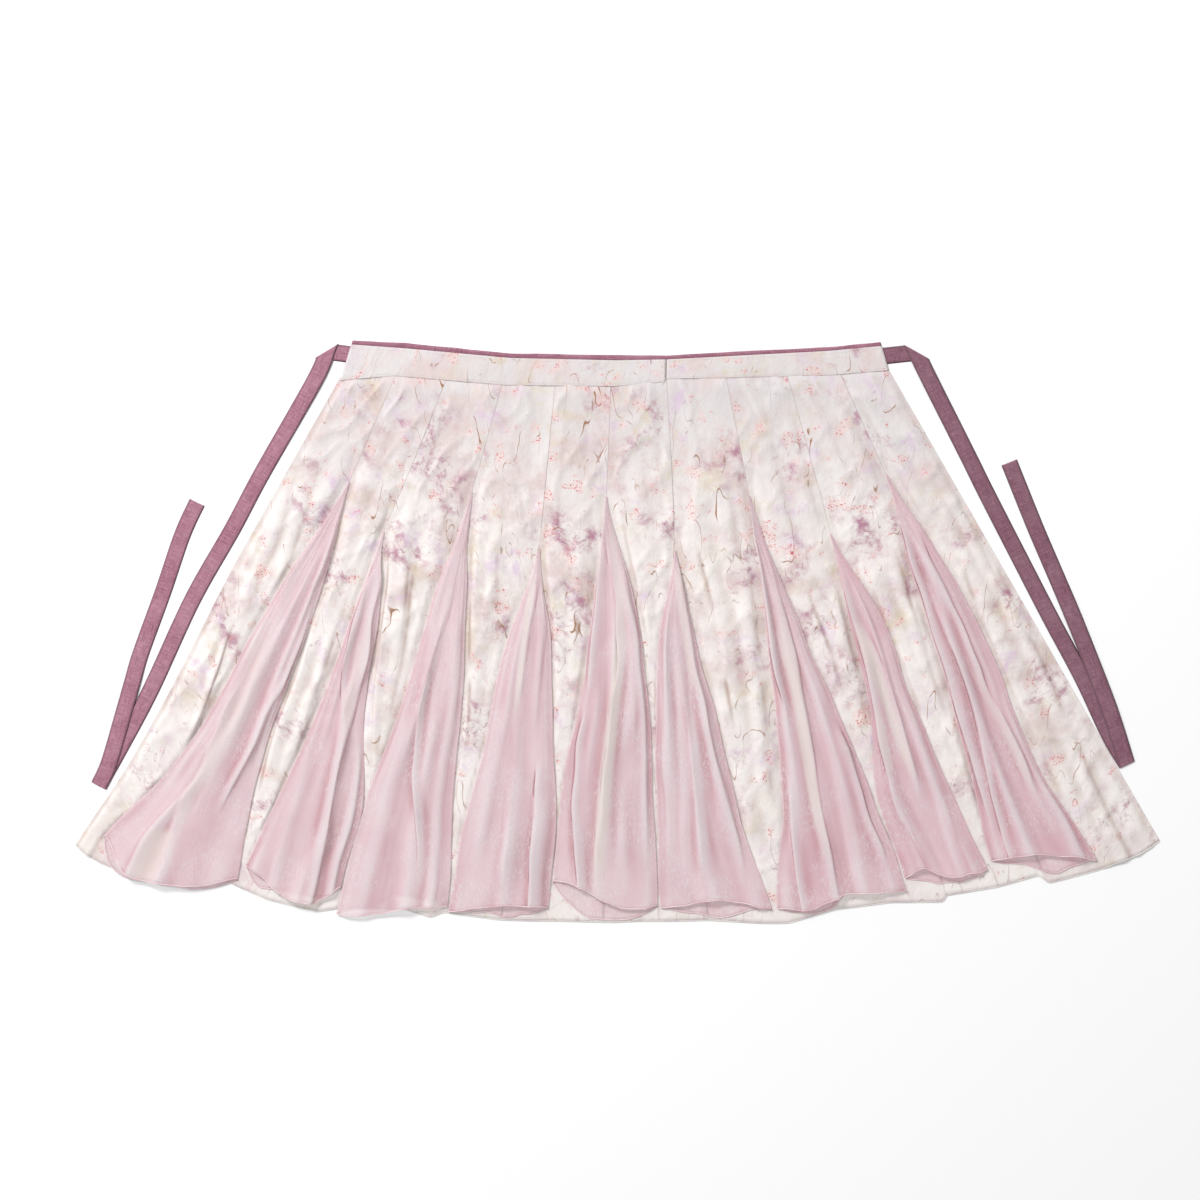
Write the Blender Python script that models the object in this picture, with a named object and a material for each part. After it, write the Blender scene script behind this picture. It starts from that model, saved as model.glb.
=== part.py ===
"""Wrap skirt of ten printed gores and nine chiffon godets, laid open and flat with its ties folded beside it.

Metres, +Z up. The waistband lies towards +Y and the hem towards -Y. The cloth rests on the plane Z = 0.
"""

import math

import bmesh
import bpy
import numpy as np

# Wall thicknesses and clearances
GORE_WALL = 0.0012
GODET_WALL = 0.0010
BAND_WALL = 0.0015
TIE_WALL = 0.0012
CLEARANCE = 0.0003

# The fan: rays leave the waist line and open evenly from the left edge to the right one
WAIST_LEFT_X = -0.482
WAIST_WIDTH = 0.945
FAN_LEFT_ANGLE = math.radians(-29.5)
FAN_SPREAD = math.radians(59.4)
NOMINAL_DROP = 0.9
TUCK = 0.008

# The left side is drawn in between these depths, over this share of the skirt
SIDE_PULL = 0.013
SIDE_PULL_GROWS = (0.30, 0.65)
SIDE_PULL_FADES = (0.72, 0.91)
SIDE_PULL_WIDTH = 0.1

# Height lines along the waist, from the left end (across 0) to the right end (across 1)
WAIST_COLUMNS = ("across", "ray_start", "band_bottom", "band_top", "facing_top")
WAIST = (
    (0.000, 0.4145, 0.4260, 0.4875, 0.4945),
    (0.100, 0.4245, 0.4340, 0.4810, 0.4900),
    (0.300, 0.4180, 0.4180, 0.4645, 0.4725),
    (0.500, 0.4145, 0.4160, 0.4605, 0.4695),
    (0.593, 0.4235, 0.4240, 0.4620, 0.4690),
    (0.595, 0.4240, 0.4290, 0.4620, 0.4690),
    (0.700, 0.4330, 0.4305, 0.4670, 0.4745),
    (0.900, 0.4385, 0.4355, 0.4765, 0.4830),
    (1.000, 0.4415, 0.4435, 0.4850, 0.4915),
)

# The waistband's slanted ends, and the slit between its two pieces
BAND_BOTTOM_X = (-0.472, 0.461)
BAND_TOP_X = (-0.453, 0.449)
BAND_SLIT = 0.594
SLIT_WIDTH = 0.0012
FACING_TUCK = 0.0022

# Seams between the gores
# Columns: share across the skirt where the seam leaves the waist, and where it reaches the hem
SEAMS = (
    (0.106, 0.106),
    (0.200, 0.187),
    (0.302, 0.289),
    (0.397, 0.399),
    (0.498, 0.491),
    (0.599, 0.585),
    (0.705, 0.701),
    (0.815, 0.799),
    (0.910, 0.888),
)

# Godets
# Columns: tip across, tip depth, left and right visible edges at a quarter, half, three quarters and the hem
GODETS = (
    (0.105, 0.186, (0.077, 0.063, 0.052, 0.020), (0.127, 0.132, 0.138, 0.155)),
    (0.180, 0.266, (0.177, 0.176, 0.168, 0.158), (0.210, 0.223, 0.249, 0.249)),
    (0.290, 0.186, (0.271, 0.264, 0.252, 0.252), (0.311, 0.330, 0.338, 0.349)),
    (0.399, 0.277, (0.372, 0.363, 0.352, 0.351), (0.423, 0.433, 0.442, 0.440)),
    (0.491, 0.186, (0.478, 0.463, 0.448, 0.443), (0.526, 0.540, 0.540, 0.540)),
    (0.585, 0.287, (0.556, 0.547, 0.543, 0.542), (0.601, 0.615, 0.625, 0.643)),
    (0.701, 0.207, (0.690, 0.679, 0.669, 0.646), (0.722, 0.742, 0.758, 0.765)),
    (0.800, 0.284, (0.789, 0.783, 0.763, 0.767), (0.829, 0.829, 0.834, 0.842)),
    (0.910, 0.189, (0.887, 0.875, 0.861, 0.848), (0.934, 0.934, 0.928, 0.939)),
)
GODET_TIP_HALF_WIDTH = 0.0032
GODET_FOLD_RADIUS = 0.0013
GODET_SWELL = 0.0025
GODET_SWELL_GROWS = 0.3
GODET_HELD_SHARE = 0.12

# Depth of each godet's hem from its left fold to its right one, at five even places
GODET_HEMS = (
    (0.867, 0.922, 0.932, 0.924, 0.900),
    (0.872, 0.893, 0.913, 0.918, 0.882),
    (0.930, 0.925, 0.913, 0.901, 0.894),
    (0.903, 0.896, 0.887, 0.886, 0.886),
    (0.842, 0.848, 0.874, 0.887, 0.886),
    (0.889, 0.887, 0.884, 0.896, 0.911),
    (0.910, 0.920, 0.904, 0.906, 0.911),
    (0.889, 0.877, 0.898, 0.901, 0.899),
    (0.884, 0.886, 0.891, 0.906, 0.923),
)

# Folds standing on the godets' upper layer
# Columns: godet, place and width as shares across it, height, start and end as shares of its length
GODET_FOLDS = (
    (1, 0.22, 0.08, 0.004, 0.45, 1.0),
    (1, 0.52, 0.09, 0.005, 0.15, 1.0),
    (1, 0.82, 0.07, 0.007, 0.05, 0.80),
    (2, 0.30, 0.08, 0.005, 0.10, 0.70),
    (2, 0.62, 0.09, 0.008, 0.30, 1.0),
    (3, 0.28, 0.08, 0.005, 0.25, 0.75),
    (3, 0.62, 0.09, 0.006, 0.45, 1.0),
    (4, 0.25, 0.07, 0.004, 0.10, 0.60),
    (4, 0.55, 0.08, 0.004, 0.50, 1.0),
    (4, 0.86, 0.07, 0.008, 0.60, 1.0),
    (5, 0.25, 0.07, 0.005, 0.40, 1.0),
    (5, 0.48, 0.08, 0.008, 0.20, 0.95),
    (5, 0.80, 0.08, 0.005, 0.10, 0.90),
    (6, 0.22, 0.07, 0.006, 0.10, 0.75),
    (6, 0.50, 0.08, 0.006, 0.30, 1.0),
    (6, 0.80, 0.07, 0.006, 0.15, 0.90),
    (7, 0.15, 0.07, 0.008, 0.05, 0.90),
    (7, 0.42, 0.08, 0.006, 0.20, 1.0),
    (7, 0.74, 0.08, 0.005, 0.30, 1.0),
    (8, 0.24, 0.08, 0.006, 0.20, 1.0),
    (8, 0.58, 0.08, 0.007, 0.10, 0.85),
    (8, 0.84, 0.06, 0.004, 0.50, 1.0),
    (9, 0.16, 0.07, 0.006, 0.10, 0.95),
    (9, 0.40, 0.08, 0.009, 0.08, 1.0),
    (9, 0.78, 0.08, 0.005, 0.20, 1.0),
)

# The printed hem below the waist line, gore by gore
HEM_COLUMNS = ("across", "depth")
HEM = (
    (0.000, 0.894),
    (0.015, 0.908),
    (0.030, 0.917),
    (0.050, 0.924),
    (0.080, 0.931),
    (0.106, 0.926),
    (0.150, 0.909),
    (0.187, 0.925),
    (0.215, 0.929),
    (0.235, 0.931),
    (0.254, 0.919),
    (0.310, 0.907),
    (0.335, 0.917),
    (0.346, 0.906),
    (0.398, 0.912),
    (0.458, 0.909),
    (0.522, 0.910),
    (0.585, 0.918),
    (0.636, 0.934),
    (0.655, 0.938),
    (0.700, 0.926),
    (0.749, 0.927),
    (0.794, 0.940),
    (0.799, 0.930),
    (0.845, 0.932),
    (0.884, 0.927),
    (0.890, 0.944),
    (0.936, 0.942),
    (0.979, 0.933),
    (1.000, 0.921),
)

# Soft folds in the part of each gore that no godet covers
# Columns: gore, place and width as shares across that part, height, start and end as shares of its length
GORE_FOLDS = (
    (1, 0.35, 0.14, 0.005, 0.06, 0.70),
    (1, 0.68, 0.13, 0.006, 0.10, 0.80),
    (2, 0.28, 0.13, 0.005, 0.05, 0.55),
    (2, 0.66, 0.14, 0.006, 0.12, 0.75),
    (3, 0.32, 0.13, 0.006, 0.08, 0.60),
    (3, 0.70, 0.12, 0.005, 0.03, 0.45),
    (4, 0.40, 0.14, 0.005, 0.10, 0.70),
    (4, 0.72, 0.12, 0.004, 0.15, 0.50),
    (5, 0.30, 0.12, 0.004, 0.06, 0.50),
    (5, 0.62, 0.14, 0.005, 0.20, 0.75),
    (6, 0.45, 0.14, 0.005, 0.05, 0.60),
    (7, 0.30, 0.12, 0.005, 0.12, 0.60),
    (7, 0.66, 0.14, 0.006, 0.08, 0.85),
    (8, 0.34, 0.13, 0.006, 0.06, 0.70),
    (8, 0.72, 0.12, 0.005, 0.10, 0.45),
    (9, 0.30, 0.13, 0.006, 0.08, 0.65),
    (9, 0.68, 0.13, 0.006, 0.15, 0.80),
    (10, 0.36, 0.13, 0.006, 0.05, 0.75),
    (10, 0.70, 0.13, 0.005, 0.12, 0.85),
)
GORE_EDGE_SHARE = 0.03
GORE_FREE_MARGIN = 0.003
GORE_HELD_SHARE = 0.15

# Share of a piece's length over which a fold rises to its height or dies away
FOLD_RAMP = 0.18

# Ties: flat ribbons, folded over themselves
TIE_WIDTH = 0.0285
TIE_STEP = TIE_WALL + 0.0004
TIE_RUNG_SPACING = 0.045
TIE_FOLD_MARGIN = 0.004
TIE_TURN = (0.0, 0.35, 0.7)

# Columns: x, y, level (0 on the floor, 1 on the ribbon's own lower layer), folded over here
TIE_LEFT = (
    (-0.4540, 0.4705, 0, False),
    (-0.4942, 0.4757, 0, True),
    (-0.5150, 0.4264, 1, False),
    (-0.6050, 0.2683, 0, False),
    (-0.6555, 0.1731, 0, False),
    (-0.7230, 0.0541, 0, False),
    (-0.7942, -0.0998, 0, False),
    (-0.8461, -0.1975, 0, False),
    (-0.8820, -0.2620, 0, True),
    (-0.8645, -0.2230, 1, False),
    (-0.8393, -0.1363, 1, False),
    (-0.8250, -0.0860, 1, False),
    (-0.8105, -0.0360, 0, False),
    (-0.7730, 0.0677, 0, False),
    (-0.7407, 0.1629, 0, False),
    (-0.7152, 0.2190, 0, False),
)
TIE_RIGHT = (
    (0.4520, 0.4680, 0, False),
    (0.5080, 0.4740, 0, True),
    (0.5310, 0.4264, 1, False),
    (0.5955, 0.2989, 0, False),
    (0.6253, 0.2385, 0, False),
    (0.6788, 0.1340, 0, False),
    (0.7349, 0.0252, 0, False),
    (0.7910, -0.0802, 0, False),
    (0.8361, -0.1763, 0, False),
    (0.8658, -0.2264, 0, True),
    (0.8403, -0.1448, 1, False),
    (0.8157, -0.0785, 1, False),
    (0.7750, 0.0240, 1, False),
    (0.7500, 0.0840, 0, False),
    (0.7172, 0.1603, 0, False),
    (0.7000, 0.2020, 0, False),
    (0.6660, 0.2870, 0, False),
)

# Colours, linear
PRINT_COLOUR = (0.84, 0.80, 0.76, 1.0)
CHIFFON_COLOUR = (0.72, 0.50, 0.54, 1.0)
LINEN_COLOUR = (0.34, 0.14, 0.20, 1.0)

# Points round a turned edge, and the angle from which an edge is shaded sharp
TURN_ANGLES = [math.radians(angle) for angle in (45.0, 90.0, 135.0)]
SHARP_ANGLE = math.radians(40.0)

# How finely each piece is divided
GORE_STATIONS = (0.0, 0.10, 0.24, 0.40, 0.55, 0.70, 0.85, 1.0)
GORE_FREE_COLUMNS = 8
GORE_COVERED_COLUMNS = 2
GODET_STATIONS = (0.0, 0.12, 0.25, 0.40, 0.55, 0.70, 0.85, 1.0)
GODET_TOP_COLUMNS = 15
BAND_COLUMNS = 12


def clear_scene():
    for thing in list(bpy.data.objects):
        bpy.data.objects.remove(thing)


def cloth_material(name, colour, roughness):
    material = bpy.data.materials.new(name)
    material.use_nodes = True
    shader = material.node_tree.nodes["Principled BSDF"]
    shader.inputs["Base Color"].default_value = colour
    shader.inputs["Roughness"].default_value = roughness
    shader.inputs["Metallic"].default_value = 0.0
    material.diffuse_color = colour
    return material


def read(rows, columns, wanted, key, value):
    """The wanted column of a table, interpolated where its key column has this value."""
    keys = [row[columns.index(key)] for row in rows]
    values = [row[columns.index(wanted)] for row in rows]
    return float(np.interp(value, keys, values))


def smooth(value):
    """0 below 0, 1 above 1 and an even S between."""
    value = min(max(value, 0.0), 1.0)
    return value * value * (3.0 - 2.0 * value)


def between(value, ends):
    """0 before the first end, 1 after the second one."""
    return smooth((value - ends[0]) / (ends[1] - ends[0]))


def held(place, share):
    """0 at both sides of a piece, and 1 further in than this share of its width."""
    return smooth(place / share) * smooth((1.0 - place) / share)


def through(values, share):
    """A smooth curve through evenly spaced values, read at a share from 0 to 1."""
    last = len(values) - 1
    index = min(int(share * last), last - 1)
    part = share * last - index
    before = values[max(index - 1, 0)]
    after = values[min(index + 2, last)]
    slope_in = (values[index + 1] - before) / 2.0
    slope_out = (after - values[index]) / 2.0
    return (
        values[index] * (2 * part**3 - 3 * part**2 + 1)
        + slope_in * (part**3 - 2 * part**2 + part)
        + values[index + 1] * (3 * part**2 - 2 * part**3)
        + slope_out * (part**3 - part**2)
    )


def fan(across, depth):
    """The place on the floor at a share across the skirt and a depth below the waist line."""
    angle = FAN_LEFT_ANGLE + FAN_SPREAD * across
    start = read(WAIST, WAIST_COLUMNS, "ray_start", "across", across)
    pull = between(depth, SIDE_PULL_GROWS) * (1.0 - between(depth, SIDE_PULL_FADES))
    pull *= SIDE_PULL * max(1.0 - across / SIDE_PULL_WIDTH, 0.0)
    x = WAIST_LEFT_X + WAIST_WIDTH * across + depth * math.sin(angle) + pull
    return x, start - depth * math.cos(angle)


def breadth(depth):
    """Metres for each whole unit across the fan at this depth."""
    return WAIST_WIDTH + FAN_SPREAD * depth


def gore_top_depth(across):
    """Depth, below zero, of the edge that is tucked under the waistband."""
    start = read(WAIST, WAIST_COLUMNS, "ray_start", "across", across)
    bottom = read(WAIST, WAIST_COLUMNS, "band_bottom", "across", across)
    return start - bottom - TUCK


def hem_depth(across):
    return read(HEM, HEM_COLUMNS, "depth", "across", across)


def seam_across(number, depth):
    """Where seam 1 to 9 lies at a depth. Seams 0 and 10 are the skirt's two side edges."""
    if number == 0:
        return 0.0
    if number == len(SEAMS) + 1:
        return 1.0
    at_waist, at_hem = SEAMS[number - 1]
    tip_across, tip_depth, _, _ = GODETS[number - 1]
    if depth < tip_depth:
        return at_waist + (tip_across - at_waist) * max(depth, 0.0) / tip_depth
    down = min((depth - tip_depth) / (NOMINAL_DROP - tip_depth), 1.0)
    return tip_across + (at_hem - tip_across) * down


def godet_edges(number, share):
    """Both visible edges of a godet, as shares across the skirt, at a share of its length."""
    tip_across, tip_depth, left, right = GODETS[number - 1]
    half_tip = GODET_TIP_HALF_WIDTH / breadth(tip_depth)
    left_edge = through((tip_across - half_tip,) + left, share)
    right_edge = through((tip_across + half_tip,) + right, share)
    seam = seam_across(number, tip_depth + share * (NOMINAL_DROP - tip_depth))
    return min(left_edge, seam - half_tip), max(right_edge, seam + half_tip)


def folds_height(rows, number, place, down):
    """Height of all folds of one piece at a place across it and a way down it."""
    height = 0.0
    for owner, middle, width, rise, start, end in rows:
        if owner != number:
            continue
        grow = between(down, (start, start + FOLD_RAMP))
        fade = 1.0 if end >= 1.0 else 1.0 - between(down, (end - FOLD_RAMP, end))
        height += rise * grow * fade * math.exp(-(((place - middle) / width) ** 2))
    return height


def walled(name, upper, lower, material):
    """One closed piece of cloth between an upper and a lower grid of points of the same size."""
    rows = len(upper)
    columns = len(upper[0])
    mesh = bmesh.new()
    top = [[mesh.verts.new(point) for point in row] for row in upper]
    under = [[mesh.verts.new(point) for point in row] for row in lower]
    for i in range(rows - 1):
        for j in range(columns - 1):
            mesh.faces.new((top[i][j], top[i + 1][j], top[i + 1][j + 1], top[i][j + 1]))
            mesh.faces.new((under[i][j], under[i][j + 1], under[i + 1][j + 1], under[i + 1][j]))
    rim = [(0, j) for j in range(columns)]
    rim += [(i, columns - 1) for i in range(1, rows)]
    rim += [(rows - 1, j) for j in range(columns - 2, -1, -1)]
    rim += [(i, 0) for i in range(rows - 2, 0, -1)]
    for here, there in zip(rim, rim[1:] + rim[:1]):
        a, b = top[here[0]][here[1]], top[there[0]][there[1]]
        c, d = under[there[0]][there[1]], under[here[0]][here[1]]
        mesh.faces.new((a, b, c, d))
    bmesh.ops.recalc_face_normals(mesh, faces=mesh.faces)
    if mesh.calc_volume(signed=True) < 0.0:
        bmesh.ops.reverse_faces(mesh, faces=mesh.faces)
    data = bpy.data.meshes.new(name)
    mesh.to_mesh(data)
    mesh.free()
    data.shade_smooth()
    data.set_sharp_from_angle(angle=SHARP_ANGLE)
    data.materials.append(material)
    piece = bpy.data.objects.new(name, data)
    bpy.context.scene.collection.objects.link(piece)
    return piece


def covered_part(number, depth):
    """How far the godet in this seam covers the gores on either side, as shares across the skirt."""
    tip_depth = GODETS[number - 1][1]
    if depth <= tip_depth:
        return 0.0, 0.0
    seam = seam_across(number, depth)
    hems = GODET_HEMS[number - 1]
    left, right = [
        godet_edges(number, min((depth - tip_depth) / (hem - tip_depth), 1.0))[side]
        for side, hem in enumerate((hems[0], hems[-1]))
    ]
    margin = GORE_FREE_MARGIN / breadth(depth)
    return seam - left + margin, right - seam + margin


def gore_depth(across, share):
    """Depth of the gores' cloth at a share of its length, from its tucked edge to its hem."""
    return gore_top_depth(across) * (1.0 - share) + hem_depth(across) * share


def gore_columns(number, share):
    """Places across the skirt of a gore's columns, from its left edge to its right one."""
    nominal = NOMINAL_DROP * share
    left, right = seam_across(number - 1, nominal), seam_across(number, nominal)
    least = GORE_EDGE_SHARE * (right - left)
    free_left, free_right = left + least, right - least
    half_gap = CLEARANCE / 2.0 / breadth(nominal)
    if number > 1:
        free_left = left + max(covered_part(number - 1, gore_depth(left, share))[1], least)
        left += half_gap
    if number <= len(SEAMS):
        free_right = right - max(covered_part(number, gore_depth(right, share))[0], least)
        right -= half_gap
    steps = GORE_COVERED_COLUMNS + 1
    covered_left = [left + (free_left - left) * k / steps for k in range(steps)]
    covered_right = [right + (free_right - right) * k / steps for k in range(steps)]
    last = GORE_FREE_COLUMNS - 1
    free = [free_left + (free_right - free_left) * k / last for k in range(last + 1)]
    return covered_left + free + covered_right[::-1]


def make_gore(number, material):
    """A printed panel, flat where a godet covers it and softly folded between."""
    upper, lower = [], []
    for share in GORE_STATIONS:
        top_row, under_row = [], []
        for j, across in enumerate(gore_columns(number, share)):
            place = (j - GORE_COVERED_COLUMNS - 1) / (GORE_FREE_COLUMNS - 1)
            place = min(max(place, 0.0), 1.0)
            x, y = fan(across, gore_depth(across, share))
            rise = held(place, GORE_HELD_SHARE) * folds_height(GORE_FOLDS, number, place, share)
            top_row.append((x, y, rise + GORE_WALL))
            under_row.append((x, y, rise))
        upper.append(top_row)
        lower.append(under_row)
    return walled(f"gore_{number}", upper, lower, material)


def godet_section(number, share, depth):
    """Middle line of a godet's wall at one share of its length, as (metres from the seam, height) points."""
    left, right = godet_edges(number, share)
    seam = seam_across(number, depth)
    wide_left = (left - seam) * breadth(depth)
    wide_right = (right - seam) * breadth(depth)
    radius = GODET_FOLD_RADIUS
    floor = GORE_WALL + CLEARANCE + GODET_WALL / 2.0
    half_gap = CLEARANCE / 2.0
    turn_left, turn_right = wide_left + radius, wide_right - radius
    points = [(-half_gap, floor), ((turn_left - half_gap) / 2.0, floor), (turn_left, floor)]
    for angle in TURN_ANGLES:
        rise = radius * (1.0 - math.cos(angle))
        points.append((turn_left - radius * math.sin(angle), floor + rise))
    for j in range(GODET_TOP_COLUMNS):
        place = j / (GODET_TOP_COLUMNS - 1)
        rise = GODET_SWELL * math.sin(math.pi * place) * smooth(share / GODET_SWELL_GROWS)
        rise += held(place, GODET_HELD_SHARE) * folds_height(GODET_FOLDS, number, place, share)
        wide = turn_left * (1.0 - place) + turn_right * place
        points.append((wide, floor + 2.0 * radius + rise))
    for angle in reversed(TURN_ANGLES):
        rise = radius * (1.0 - math.cos(angle))
        points.append((turn_right + radius * math.sin(angle), floor + rise))
    points += [(turn_right, floor), ((turn_right + half_gap) / 2.0, floor), (half_gap, floor)]
    return points


def offset_line(points, distance):
    """The line moved sideways by a distance, to its left where that is above zero."""
    line = np.array(points)
    along = np.gradient(line, axis=0)
    along /= np.linalg.norm(along, axis=1)[:, None]
    normal = np.stack((-along[:, 1], along[:, 0]), axis=1)
    return line + distance * normal


def make_godet(number, material):
    """A chiffon gusset, sewn in at its two edges under a flattened fold that lies on the gores."""
    tip_depth = GODETS[number - 1][1]
    upper, lower = [], []
    for share in GODET_STATIONS:
        middle_depth = tip_depth + share * (NOMINAL_DROP - tip_depth)
        left, right = godet_edges(number, share)
        seam = seam_across(number, middle_depth)
        line = godet_section(number, share, middle_depth)
        for rows, distance in ((upper, -GODET_WALL / 2.0), (lower, GODET_WALL / 2.0)):
            row = []
            for wide, height in offset_line(line, distance):
                across = seam + wide / breadth(middle_depth)
                place = min(max((across - left) / (right - left), 0.0), 1.0)
                hem = through(GODET_HEMS[number - 1], place)
                x, y = fan(across, tip_depth + share * (hem - tip_depth))
                row.append((x, y, height))
            rows.append(row)
    return walled(f"godet_{number}", upper, lower, material)


def band_point(across, share, low, high):
    """A point of the waistband's face, from its bottom edge (share 0) to its top one (share 1)."""
    bottom_x = BAND_BOTTOM_X[0] + (BAND_BOTTOM_X[1] - BAND_BOTTOM_X[0]) * across
    top_x = BAND_TOP_X[0] + (BAND_TOP_X[1] - BAND_TOP_X[0]) * across
    return bottom_x + (top_x - bottom_x) * share, low + (high - low) * share


def make_band(name, start, end, material):
    """One printed piece of the waistband, lying on the gores' tucked edges and on the facing."""
    floor = GORE_WALL + CLEARANCE
    upper, lower = [], []
    for k in range(BAND_COLUMNS + 1):
        across = start + (end - start) * k / BAND_COLUMNS
        bottom = read(WAIST, WAIST_COLUMNS, "band_bottom", "across", across)
        top = read(WAIST, WAIST_COLUMNS, "band_top", "across", across)
        row = [band_point(across, share, bottom, top) for share in (0.0, 0.5, 1.0)]
        upper.append([(x, y, floor + BAND_WALL) for x, y in row])
        lower.append([(x, y, floor) for x, y in row])
    return walled(name, upper, lower, material)


def make_facing(material):
    """The mauve strip behind the waistband. It stands a few millimetres past the band's top edge."""
    upper, lower = [], []
    for k in range(2 * BAND_COLUMNS + 1):
        across = k / (2 * BAND_COLUMNS)
        edge = read(WAIST, WAIST_COLUMNS, "facing_top", "across", across)
        band_top = read(WAIST, WAIST_COLUMNS, "band_top", "across", across)
        band_bottom = read(WAIST, WAIST_COLUMNS, "band_bottom", "across", across)
        rows = []
        for height in (edge, band_top - FACING_TUCK):
            share = (height - band_bottom) / (band_top - band_bottom)
            rows.append(band_point(across, share, band_bottom, band_top))
        upper.append([(x, y, GORE_WALL) for x, y in rows])
        lower.append([(x, y, 0.0) for x, y in rows])
    return walled("waistband_facing", upper, lower, material)


def tie_runs(route):
    """The route cut at its folds, each run with its rows as arrays of x, y and level."""
    runs, run = [], [route[0][:3]]
    for row in route[1:]:
        run.append(row[:3])
        if row[3]:
            runs.append(np.array(run))
            run = [row[:3]]
    runs.append(np.array(run))
    for run in runs[1:]:
        run[0, 2] = run[1, 2]
    return runs


def smooth_run(run):
    """Dense points of a run's middle line, with the distance along it and the level at each."""
    shares = np.linspace(0.0, 1.0, 12 * (len(run) - 1) + 1)
    place = np.array([[through(list(run[:, axis]), share) for axis in (0, 1)] for share in shares])
    level = np.interp(shares * (len(run) - 1), range(len(run)), run[:, 2])
    steps = np.linalg.norm(np.diff(place, axis=0), axis=1)
    return place, np.concatenate(([0.0], np.cumsum(steps))), level


def unit(vector):
    return vector / np.linalg.norm(vector)


def rung_end(curve, along, side):
    """The point of one edge of the ribbon (side 1 left, -1 right) at a distance along its middle line."""
    place, distance, level = curve
    inside = min(max(along, 0.0), distance[-1])
    here = min(np.searchsorted(distance, inside), len(distance) - 1)
    before, after = max(here - 1, 0), min(here + 1, len(distance) - 1)
    forward = unit(place[after] - place[before])
    middle = np.array([np.interp(inside, distance, place[:, axis]) for axis in (0, 1)])
    middle = middle + (along - inside) * forward
    edge = middle + side * TIE_WIDTH / 2.0 * np.array((-forward[1], forward[0]))
    height = TIE_WALL / 2.0 + np.interp(inside, distance, level) * TIE_STEP
    return np.array((edge[0], edge[1], height))


def fold_slant(forward, fold):
    """How far along the ribbon its left edge meets a fold line, measured from where the middle meets it."""
    left = np.array((-forward[1], forward[0]))
    return TIE_WIDTH / 2.0 * fold.dot(forward) / fold.dot(left)


def rung_places(length, slant_start, slant_end):
    """Pairs of distances along the left and right edges, turning from one fold's slant to the next one's."""
    first = abs(slant_start) + TIE_FOLD_MARGIN if slant_start else 0.0
    last = length - (abs(slant_end) + TIE_FOLD_MARGIN if slant_end else 0.0)
    count = max(int(round((last - first) / TIE_RUNG_SPACING)), 1)
    pairs = [(first + (last - first) * k / count,) * 2 for k in range(count + 1)]
    if slant_start:
        left, right = slant_start, -slant_start
        turn = [(left + (first - left) * f, right + (first - right) * f) for f in TIE_TURN]
        pairs = turn + pairs
    if slant_end:
        left, right = length + slant_end, length - slant_end
        turn = [(left + (last - left) * f, right + (last - right) * f) for f in TIE_TURN]
        pairs = pairs + turn[::-1]
    return pairs


def make_tie(name, route, material):
    """A flat ribbon laid in straight runs and folded over itself at each end of a run."""
    curves = [smooth_run(run) for run in tie_runs(route)]
    starts = [unit(place[1] - place[0]) for place, _, _ in curves]
    ends = [unit(place[-1] - place[-2]) for place, _, _ in curves]
    folds = [unit(ends[k] + starts[k + 1]) for k in range(len(curves) - 1)]
    rungs = []
    facing = -1.0
    for k, curve in enumerate(curves):
        side = 1.0 if k % 2 == 0 else -1.0
        slant_start = fold_slant(starts[k], folds[k - 1]) if k > 0 else 0.0
        slant_end = fold_slant(ends[k], folds[k]) if k < len(folds) else 0.0
        for left_along, right_along in rung_places(curve[1][-1], slant_start, slant_end):
            pair = (rung_end(curve, left_along, 1), rung_end(curve, right_along, -1))
            rungs.append((pair if side > 0.0 else pair[::-1], np.array((0.0, 0.0, facing))))
        if k == len(folds):
            break
        outward = unit(ends[k] - ends[k].dot(folds[k]) * folds[k])
        turned = rungs[-1][0]
        for angle in TURN_ANGLES:
            radial = np.array((*(outward * math.sin(angle)), -math.cos(angle)))
            centre = [np.array((end[0], end[1], end[2] + TIE_STEP / 2.0)) for end in turned]
            rungs.append(([point + radial * TIE_STEP / 2.0 for point in centre], -facing * radial))
        facing = -facing
    upper = [[tuple(end + normal * TIE_WALL / 2.0) for end in pair] for pair, normal in rungs]
    lower = [[tuple(end - normal * TIE_WALL / 2.0) for end in pair] for pair, normal in rungs]
    return walled(name, upper, lower, material)


def centre_model():
    """Moves every mesh so that the whole skirt is centred on the origin and rests on Z = 0."""
    pieces = [thing for thing in bpy.data.objects if thing.type == "MESH"]
    points = np.array([vertex.co[:] for piece in pieces for vertex in piece.data.vertices])
    low, high = points.min(axis=0), points.max(axis=0)
    shift = np.array((-(low[0] + high[0]) / 2.0, -(low[1] + high[1]) / 2.0, -low[2]))
    for piece in pieces:
        for vertex in piece.data.vertices:
            vertex.co = [float(value) for value in np.array(vertex.co[:]) + shift]
    print("size", high - low, "moved by", shift)


def main():
    clear_scene()
    printed = cloth_material("printed_cloth", PRINT_COLOUR, 0.8)
    chiffon = cloth_material("chiffon", CHIFFON_COLOUR, 0.6)
    linen = cloth_material("linen", LINEN_COLOUR, 0.85)
    half_slit = SLIT_WIDTH / 2.0 / (BAND_TOP_X[1] - BAND_TOP_X[0])
    make_band("waistband_left", 0.0, BAND_SLIT - half_slit, printed)
    make_band("waistband_right", BAND_SLIT + half_slit, 1.0, printed)
    make_facing(linen)
    for number in range(1, len(SEAMS) + 2):
        make_gore(number, printed)
    for number in range(1, len(SEAMS) + 1):
        make_godet(number, chiffon)
    make_tie("tie_left", TIE_LEFT, linen)
    make_tie("tie_right", TIE_RIGHT, linen)
    centre_model()


main()
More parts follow.
